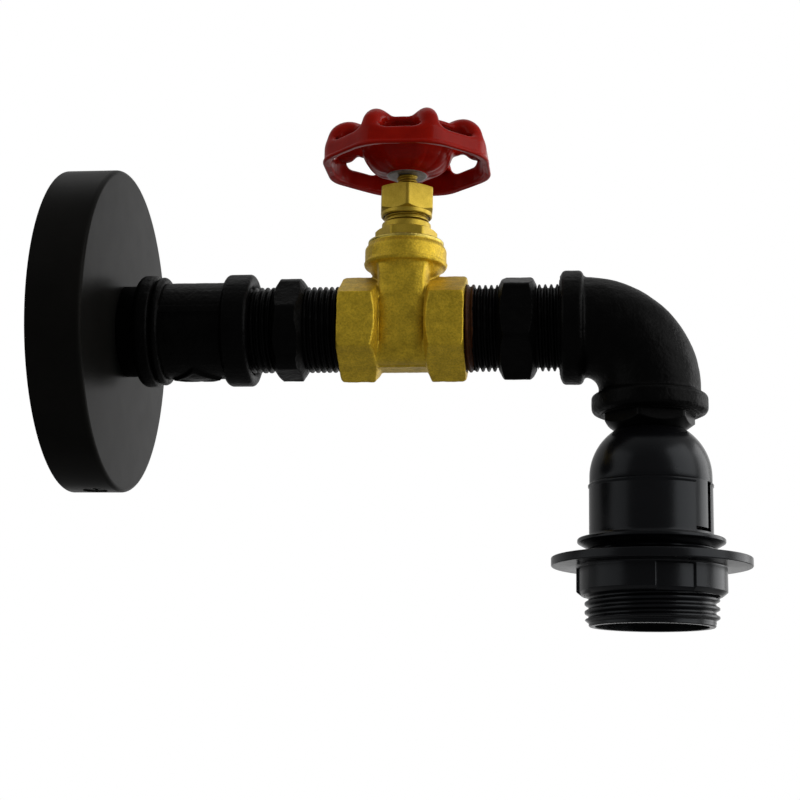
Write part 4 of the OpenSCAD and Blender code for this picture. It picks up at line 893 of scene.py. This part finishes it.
def make_handwheel():
    low = span("handwheel", Z)[0]
    top = span("handwheel", Z)[1] - low
    hub_r, hub_h, square = 6.2, 7.0, 2.25
    flat_r, corner_round, rim_t, rim_low, rim_h = 25.6, 3.6, 2.6, 2.1, 5.7
    lip_r, lip_z = 0.45, 0.5
    grip_circle, grip_r, reach, hollow_top = 18.5, 3.05, 4.6, 8.8
    arch_z = top - grip_r - reach
    bowl_in, bowl_r, bowl_z, flare_r, dish_end = 5.5, 7.9, 9.4, 3.0, 17.4
    dish = arc((bowl_in, bowl_z), bowl_r, -90, 0, 16)
    dish += arc((bowl_in + bowl_r + flare_r, bowl_z), flare_r, 180, 90, 8) + [(dish_end, bowl_z + flare_r)]
    dish_t, flute, flute_in, flute_l = 1.9, 0.3, 6, 3
    top_edge, low_edge, corner_edge, hollow_edge, hub_edge = 1.5, 0.5, 2.2, 1.2, 0.5
    grip_fillet, hub_fillet, rim_fillet, lip_fillet, lip_out, skirt_out = 3.2, 0.8, 2.4, 0.5, 0.12, 0.2
    grips, grip_foot, side_room, low_room = 8, 1.4, 2.6, 0.9
    eighth = TURN / grips
    grip_line = [(grip_circle + reach, rim_low + grip_foot)] + arc((grip_circle, arch_z), reach, 0, 140, 14)

    def field(p):
        x, y, z = p[..., 0] - STEM_X, p[..., 1], p[..., 2] - low
        r = np.hypot(x, y)
        angle = np.arctan2(y, x)
        to_grip = angle % eighth - eighth / 2
        to_flat = (angle + eighth / 2) % eighth - eighth / 2
        next_flat = eighth - np.abs(to_flat)
        outer = soft_max(r * np.cos(to_flat) - flat_r, r * np.cos(next_flat) - flat_r, corner_round)
        rim = np.abs(outer + rim_t / 2) - rim_t / 2
        rim = trimmed(rim, (z - rim_low - rim_h, top_edge), (rim_low - z, low_edge))
        lip = np.hypot(outer + lip_r, z - rim_low - lip_z) - lip_r - lip_out
        grip = np.hypot(path_distance(r * np.cos(to_grip), z, grip_line), r * np.sin(to_grip)) - grip_r
        hollow = np.maximum(outer + rim_t, z - hollow_top)
        skirt = trimmed(soft_min(grip, rim, grip_fillet), (outer - skirt_out, corner_edge))
        skirt = trimmed(skirt, (rim_low - z, low_edge), (-hollow, hollow_edge))
        ridge = np.clip(np.cos(grips * to_grip), 0, 1) * np.clip((r - flute_in) / flute_l, 0, 1)
        bowl = path_distance(r, z, dish) - dish_t / 2 - flute * ridge
        hub = soft_max(r - hub_r, np.abs(z - hub_h / 2) - hub_h / 2, hub_edge)
        whole = soft_min(soft_min(bowl, hub, hub_fillet), skirt, rim_fillet)
        whole = soft_min(whole, lip, lip_fillet)
        whole = whole + casting(p, (0.08, 9.0))
        whole = np.maximum(whole, np.maximum(-z, z - top))
        hole = np.maximum(np.maximum(np.abs(x), np.abs(y)) - square, z - hub_h - 1)
        return np.maximum(whole, -hole)

    side = flat_r + side_room
    corners = (STEM_X - side, -side, low - low_room), (STEM_X + side, side, low + top + 1)
    stand_for(skin_field("handwheel_cast", field, *corners, step=0.32), "handwheel")


# Sealant: thin brown film over the first turns of thread beside the valve


def make_sealant():
    start, end = span("thread_sealant", X)
    film, fill, deep, ragged = 0.2, 0.7, 0.6, 0.25
    inner_r = PIPE_ROOT_R - deep
    outline = [(inner_r, start)] + run(PIPE_R + 1, start, end, PIPE_PITCH / 14) + [(inner_r, end)]

    def shape(angle, r, s):
        thread = helix(angle, s, PIPE_ROOT_R + fill, PIPE_R + film, PIPE_PITCH)
        uneven = np.sin(3 * angle + 1) + np.sin(7 * angle) + 0.6 * np.sin(19 * angle + 2)
        last = end - ragged * (1.2 + 0.45 * uneven)
        covered = np.where(s < last, thread, inner_r)
        return np.where(r > PIPE_R, covered, r)

    stand_for(spin("thread_sealant_film", outline, along_x, shape, around=288, sharp=60), "thread_sealant")


# Elbow: cast bend with a rounded band at each end


def make_elbow():
    face = span("elbow", X)[0]
    outlet = span("elbow", Z)[0]
    bend_r, body_r, band_r, edge, lip_r, lip, lip_half, fillet = 19.4, 15.3, 17.4, 1.5, 14.4, 0.5, 1, 1.4
    centre_x, centre_z = LAMP_X - bend_r, -bend_r
    passage_r, thread_l, in_band_l, out_band_l = 10.5, 13.2, 7.2, 6.4

    def field(p):
        x, y, z = np.moveaxis(p, -1, 0)
        dx, dz = x - centre_x, z - centre_z
        inlet = np.hypot(y, z)
        down = np.hypot(x - LAMP_X, y)
        bend = np.hypot(np.hypot(np.maximum(dx, 0), np.maximum(dz, 0)) - bend_r, y)
        tube = np.where((dx > 0) & (dz > 0), bend, np.where(dx <= 0, inlet, down))
        tube = np.where((dx <= 0) & (dz <= 0), np.minimum(inlet, down), tube)
        body = np.maximum(np.maximum(tube - body_r, face + lip - x), outlet + lip - z)
        in_band = rounded_rectangle(inlet, x, (-band_r, face + lip), (band_r, face + in_band_l), edge)
        out_band = rounded_rectangle(down, z, (-band_r, outlet + lip), (band_r, outlet + out_band_l), edge)
        whole = soft_min(soft_min(body, in_band, fillet), out_band, fillet)
        whole = whole + casting(p, (0.14, 8.0), (0.04, 2.4))
        ends = (x - face, inlet), (z - outlet, down)
        for end, r in ends:
            whole = np.minimum(whole, np.maximum(r - lip_r, np.abs(end - lip_half) - lip_half))
        for end, r in ends:
            whole = np.maximum(whole, -np.maximum(r - FEMALE_R, end - thread_l))
        return np.maximum(whole, passage_r - tube)

    side = band_r + 1
    corners = (face - 1, -side, outlet - 1), (LAMP_X + side, side, side)
    stand_for(skin_field("elbow_cast", field, *corners, step=0.36), "elbow")


# Bush under the elbow: tapered hexagon over a pipe thread


def make_bush():
    low, top = span("hex_bush", Z)
    seat = span("elbow", Z)[0]
    across, end_r, flat_h, bore_r, turn, bevel, seat_bevel = 24.4, 10.4, 1.8, 5.08, 15, 0.2, 0.15
    corner_r = corner_of(across)
    outline = (
        [(bore_r, low), (end_r - bevel, low)]
        + slant((end_r, low + bevel / 2), (corner_r, seat - flat_h), 24)
        + run(corner_r, seat - flat_h + bevel / 2, seat - bevel, step=0.4)
        + [(corner_r - seat_bevel, seat - 0.01), (PIPE_R, seat)]
        + run(PIPE_R, seat + 0.05, top, PIPE_PITCH / 12)
        + [(bore_r, top)]
    )
    flats = hexed(across, turn, low, seat - 0.005)

    def shape(angle, r, s):
        thread = helix(angle, s, PIPE_ROOT_R, PIPE_R, PIPE_PITCH)
        return np.where((s > seat) & (r > bore_r + 1), thread, flats(angle, r, s))

    stand_for(spin("hex_bush_turned", outline, along_lamp, shape, around=360, sharp=22), "hex_bush")


# Lampholder: domed cap with a lock tab, threaded shell with a window, and the shade ring


def make_cap():
    top = span("holder_cap", Z)[1]
    seam = span("holder_shell", Z)[1]
    cap_r, dome_r, bore_r, spigot_r, cavity_r, boss_r = 18.05, 16.8, 5.08, 16.4, 14.7, 8.0
    spigot, roof, boss, skirt, lip = 3.4, 4.0, 8.0, 2.3, 0.4
    dome_low = seam + skirt
    start = math.degrees(math.asin((top - dome_low) / dome_r))
    outline = (
        [(bore_r, top - boss), (bore_r, top)]
        + arc((cap_r - dome_r, dome_low), dome_r, start, 0, 40)
        + [(cap_r, seam + lip), (cap_r - lip / 2, seam), (spigot_r, seam), (spigot_r, seam - spigot)]
        + [(cavity_r, seam - spigot), (cavity_r, top - 2 * roof), (boss_r + roof, top - roof)]
        + [(boss_r, top - roof), (boss_r, top - boss)]
    )
    cap = spin("holder_cap_moulded", outline, along_lamp, around=288)
    tab_in, tab_out, tab_half, tab_turn, tab_over = 16.8, 17.9, 3.2, -36, 0.5
    tab_ends = span("holder_cap", Z)[0], seam + tab_over
    half_in, half_out = (math.degrees(math.asin(tab_half / r)) for r in (tab_in, tab_out))
    ring = arc((LAMP_X, 0), tab_in, tab_turn - half_in, tab_turn + half_in)
    ring += arc((LAMP_X, 0), tab_out, tab_turn + half_out, tab_turn - half_out)
    tab = prism("lock_tab", ring, tab_ends, lambda x, y, z: (x, y, z))
    stand_for(join(cap, tab), "holder_cap")


def make_shell():
    mouth, seam = span("holder_shell", Z)
    ledge = span("holder_insert", Z)[0]
    shell_r, bore_r, lip_r, collar_r, root_r, crest_r, pitch = 18.2, 16.55, 18.45, 21.7, 18.5, 19.6, 2.53
    lip_h, lip_edge, lip_fall, upper_h, collar_half, collar_edge = 0.7, 0.2, 0.35, 16.8, 0.7, 0.5
    slope, cove_r, run_in, tail_l, tail_in, tail_edge = 1.5, 1.6, 0.3, 1.0, 0.1, 0.25
    fade_turns, thread_fill, socket_fill = 0.35, 0.7, 0.8
    collar_mid = seam - upper_h
    cove_z = collar_mid + collar_half + slope
    wall_ends = seam - lip_h - 0.6, cove_z + 1.2
    thread_top = collar_mid - collar_half - slope
    thread_low = mouth + tail_l
    tail_r = root_r - tail_in
    mouth_r, mouth_depth, mouth_edge = 16.6, 2.4, 0.2
    socket_r, socket_root, socket_pitch, socket_turns = 12.25, 13.35, 3.629, 5
    socket_low = mouth + mouth_depth
    socket_high = socket_low + socket_turns * socket_pitch
    outline = (
        [(bore_r, ledge), (bore_r, seam), (lip_r - lip_edge, seam), (lip_r, seam - lip_edge)]
        + [(lip_r, seam - lip_h), (shell_r, seam - lip_h - lip_fall)]
        + [(shell_r, s) for s in np.linspace(*wall_ends, 8)]
        + arc((shell_r + cove_r, cove_z), cove_r, 180, 250, 8)
        + round_corner(collar_r, collar_mid + collar_half, collar_edge, 80, 0, 5)
        + round_corner(collar_r, collar_mid - collar_half, collar_edge, 0, -60, 5)
        + [(root_r + run_in, thread_top + 0.1)]
        + run(crest_r, thread_top, thread_low, pitch / 18)
        + [(tail_r, thread_low - 0.02), (tail_r, mouth + tail_edge), (tail_r - tail_edge, mouth)]
        + [(mouth_r + mouth_edge, mouth), (mouth_r, mouth + mouth_edge), (mouth_r, socket_low)]
        + run(socket_root, socket_low + 0.01, socket_high, socket_pitch / 14)
        + [(socket_root, ledge)]
    )

    def shape(angle, r, s):
        outside = (s <= thread_top + SLACK) & (s >= thread_low - SLACK) & (r > shell_r)
        from_end = np.minimum(thread_top - s, s - thread_low)
        fade = np.clip(from_end / (fade_turns * pitch), 0, 1)
        thread = helix(angle, s, root_r, root_r + (crest_r - root_r) * fade, pitch, thread_fill)
        rise = helix(angle, s, 0.0, 1.0, socket_pitch, socket_fill)
        socket = socket_root - (socket_root - socket_r) * rise
        inside = (s > socket_low) & (s < socket_high + SLACK) & (r < socket_root + 0.01)
        return np.where(outside, thread, np.where(inside, socket, r))

    shell = spin("holder_shell_moulded", outline, along_lamp, shape, around=288, sharp=38)
    window_half, window_h, window_turn, corner, near, far = 4.05, 14.8, math.radians(-34), 0.5, 13.35, 20.0
    turn_cos, turn_sin = math.cos(window_turn), math.sin(window_turn)

    def place(t, s, d):
        return LAMP_X + d * turn_cos - t * turn_sin, d * turn_sin + t * turn_cos, s

    ring = round_corner(-window_half, seam - window_h, corner, 180, 270, 4)
    ring += round_corner(window_half, seam - window_h, corner, 270, 360, 4)
    ring += [(window_half, seam + 1), (-window_half, seam + 1)]
    cut(shell, prism("window", ring, (near, far), place), sharp=38)
    stand_for(shell, "holder_shell")


def make_shade_ring():
    low, top = span("shade_ring", Z)
    ring_r = span("shade_ring", Y)[1]
    bore_r, skirt_r, thick, chamfer, edge = 19.68, 22.0, 2.6, 1.4, 0.35
    bevel, fillet, skirt_edge, foot_bevel, recess, recess_down = 0.3, 0.5, 0.4, 0.2, 0.8, 0.9
    recess_turn, recess_half, recess_edge = (math.radians(a) for a in (-73, 15.3, 0.7))
    under = top - thick
    recess_top = under - recess_down
    outline = (
        [(bore_r, top - bevel), (bore_r + bevel, top)]
        + band(under, top, ring_r, edge)[::-1]
        + round_corner(skirt_r, under, fillet, 90, 180, 5)
        + [(skirt_r, recess_top), (skirt_r, low + chamfer + foot_bevel)]
        + arc((skirt_r - skirt_edge, low + chamfer), skirt_edge, 0, -40, 4)
        + [(skirt_r - chamfer, low + foot_bevel / 2), (skirt_r - chamfer - foot_bevel, low)]
        + [(bore_r + bevel, low), (bore_r, low + bevel)]
    )
    quarter = TURN / 4

    def shape(angle, r, s):
        off = np.abs((angle - recess_turn + quarter / 2) % quarter - quarter / 2)
        sunk = np.clip((recess_half - off) / recess_edge + 0.5, 0, 1)
        on_skirt = (s < recess_top + SLACK) & (r > bore_r + 2 * bevel)
        return np.where(on_skirt, np.minimum(r, skirt_r - recess * sunk), r)

    stand_for(spin("shade_ring_moulded", outline, along_lamp, shape, around=720, sharp=30), "shade_ring")


make_wall_plate()
make_bracket()
make_block()
make_plate_joint()
make_coupling()
make_nipple("wall_hex_nipple", hex_start=63.9, hex_l=9.8, turn=114, corner_r=15.9)
make_valve_body()
make_bonnet()
make_packing_nut()
make_stem()
make_handwheel()
make_wheel_nut_and_washer()
make_nipple("lamp_hex_nipple", hex_start=132.5, hex_l=11.4, turn=81, corner_r=16.8)
make_sealant()
make_elbow()
make_bush()
make_cap()
make_shell()
make_shade_ring()

# All solids take their material. Those that stay in view keep their shape, some with small roundings
EDGE_OF_NODE = {
    "side_screws": 0.4, "earth_screw": 0.4, "earth_tag": 0.2, "block_screws": 0.2, "holder_insert": 0.3,
}
for name, node in frame["nodes"].items():
    finish_as(node, name)
    node.modifiers.new("weld", "WELD").merge_threshold = 0.01 * MM
    if name in EDGE_OF_NODE:
        rounding = node.modifiers.new("rounding", "BEVEL")
        rounding.width = EDGE_OF_NODE[name] * MM
        rounding.segments = 3
        rounding.angle_limit = math.radians(40)
        node.modifiers.new("shading", "WEIGHTED_NORMAL")


# Stage, light and camera


def combined(tree, operation, a, b):
    """One value from two."""
    return add(tree, "ShaderNodeMath", a, b, operation=operation).outputs["Value"]


def eased(tree, source, low, high, at_low, at_high):
    """Value that goes smoothly from one level at low to another at high."""
    return mapped(tree, source, low, high, at_low, at_high, "SMOOTHSTEP")


def seen_white(tree, behind):
    """How far the stage shows as white.

    It does wholly to the eye and through glass, and in gloss where it is behind the object.
    """
    path = add(tree, "ShaderNodeLightPath").outputs
    gloss = combined(tree, "MULTIPLY", path["Is Glossy Ray"], behind)
    direct = combined(tree, "MAXIMUM", path["Is Camera Ray"], path["Is Transmission Ray"])
    return combined(tree, "MAXIMUM", direct, gloss)


def make_floor():
    """Pale floor that shows as white further out and keeps the object's shadow under it."""
    size, height, grey, rough = 6.0, -0.55, (0.35, 0.35, 0.35, 1), 0.9
    behind_from, behind_to = 0.4, 5.0
    open_from, open_to, share_near, share_far = 0.6, 1.8, 0.85, 1.0
    mesh = bpy.data.meshes.new("floor")
    corners = [(-size, -size, height), (size, -size, height), (size, size, height), (-size, size, height)]
    mesh.from_pydata(corners, [], [(0, 1, 2, 3)])
    floor = new_object("floor", mesh)
    tree, shader = new_material("floor_white")
    feed(tree, shader.inputs["Base Color"], grey)
    feed(tree, shader.inputs["Roughness"], rough)
    place = on_piece(tree)
    depth = add(tree, "ShaderNodeSeparateXYZ", place).outputs["Y"]
    distance = add(tree, "ShaderNodeVectorMath", place, operation="LENGTH").outputs["Value"]
    behind = eased(tree, depth, behind_from, behind_to, 0.0, 1.0)
    open_floor = eased(tree, distance, open_from, open_to, share_near, share_far)
    share = combined(tree, "MULTIPLY", seen_white(tree, behind), open_floor)
    white = add(tree, "ShaderNodeEmission", Strength=1.0)
    mix = add(tree, "ShaderNodeMixShader", share, shader.outputs["BSDF"], white.outputs["Emission"])
    feed(tree, tree.nodes["Material Output"].inputs["Surface"], mix.outputs["Shader"])
    mesh.materials.append(MATERIALS["floor_white"])


def make_world():
    """Bright behind and beside the object and dim on the camera's side, as in front of a white cloth."""
    dim_side, dim, bright = (-0.15, -0.97, -0.2), 0.17, 0.4
    bright_to, dim_from = -0.2, 0.75
    cloth_in, cloth_out = -0.99, -0.82
    world = bpy.data.worlds.new("studio")
    bpy.context.scene.world = world
    world.use_nodes = True
    tree = world.node_tree
    direction = add(tree, "ShaderNodeTexCoord").outputs["Generated"]
    facing = add(tree, "ShaderNodeVectorMath", direction, dim_side, operation="DOT_PRODUCT").outputs["Value"]
    level = eased(tree, facing, bright_to, dim_from, bright, dim)
    cloth = eased(tree, facing, cloth_in, cloth_out, 1.0, 0.0)
    background = tree.nodes["Background"]
    feed(tree, background.inputs["Color"], (1, 1, 1, 1))
    feed(tree, background.inputs["Strength"], combined(tree, "MAXIMUM", level, seen_white(tree, cloth)))


def make_lamp(name, place, size, power):
    """Soft box at a place, turned towards the middle of the light."""
    target = Vector((0.1, 0.0, 0.0))
    light = bpy.data.lights.new(name, "AREA")
    light.shape = "RECTANGLE"
    light.size, light.size_y = size
    light.energy = power
    obj = new_object(name, light)
    obj.location = place
    obj.rotation_euler = (target - Vector(place)).to_track_quat("-Z", "Y").to_euler()


def make_camera():
    """Camera where the photo was taken from, found from the fittings' known sizes."""
    place = Vector((162.57, -517.59, -130.5)) * MM
    yaw, pitch, roll = (math.radians(a) for a in (6.62, 11.75, 1.06))
    focal_pixels, frame_pixels, sensor = 1752.83, 800, 36.0
    forward = Vector((-math.sin(yaw) * math.cos(pitch), math.cos(yaw) * math.cos(pitch), math.sin(pitch)))
    level = Vector((math.cos(yaw), math.sin(yaw), 0))
    upright = level.cross(forward)
    right = level * math.cos(roll) + upright * math.sin(roll)
    up = upright * math.cos(roll) - level * math.sin(roll)
    data = bpy.data.cameras.new("photo_camera")
    data.sensor_width = sensor
    data.lens = focal_pixels / frame_pixels * sensor
    data.clip_start, data.clip_end = 0.01, 50
    camera = new_object("photo_camera", data)
    camera.matrix_world = Matrix.Translation(place) @ Matrix((right, up, -forward)).transposed().to_4x4()
    bpy.context.scene.camera = camera


make_floor()
make_world()
make_lamp("right_box", (0.85, -0.3, 0.25), size=(0.7, 0.9), power=3.2)
make_lamp("right_back_box", (0.85, 0.4, 0.05), size=(0.5, 0.9), power=3.0)
make_lamp("left_box", (-0.75, -0.35, 0.25), size=(0.9, 1.0), power=1.5)
make_lamp("top_box", (0.1, 0.35, 0.85), size=(0.9, 0.5), power=0.65)
make_camera()
bpy.context.scene.view_settings.view_transform = "Standard"
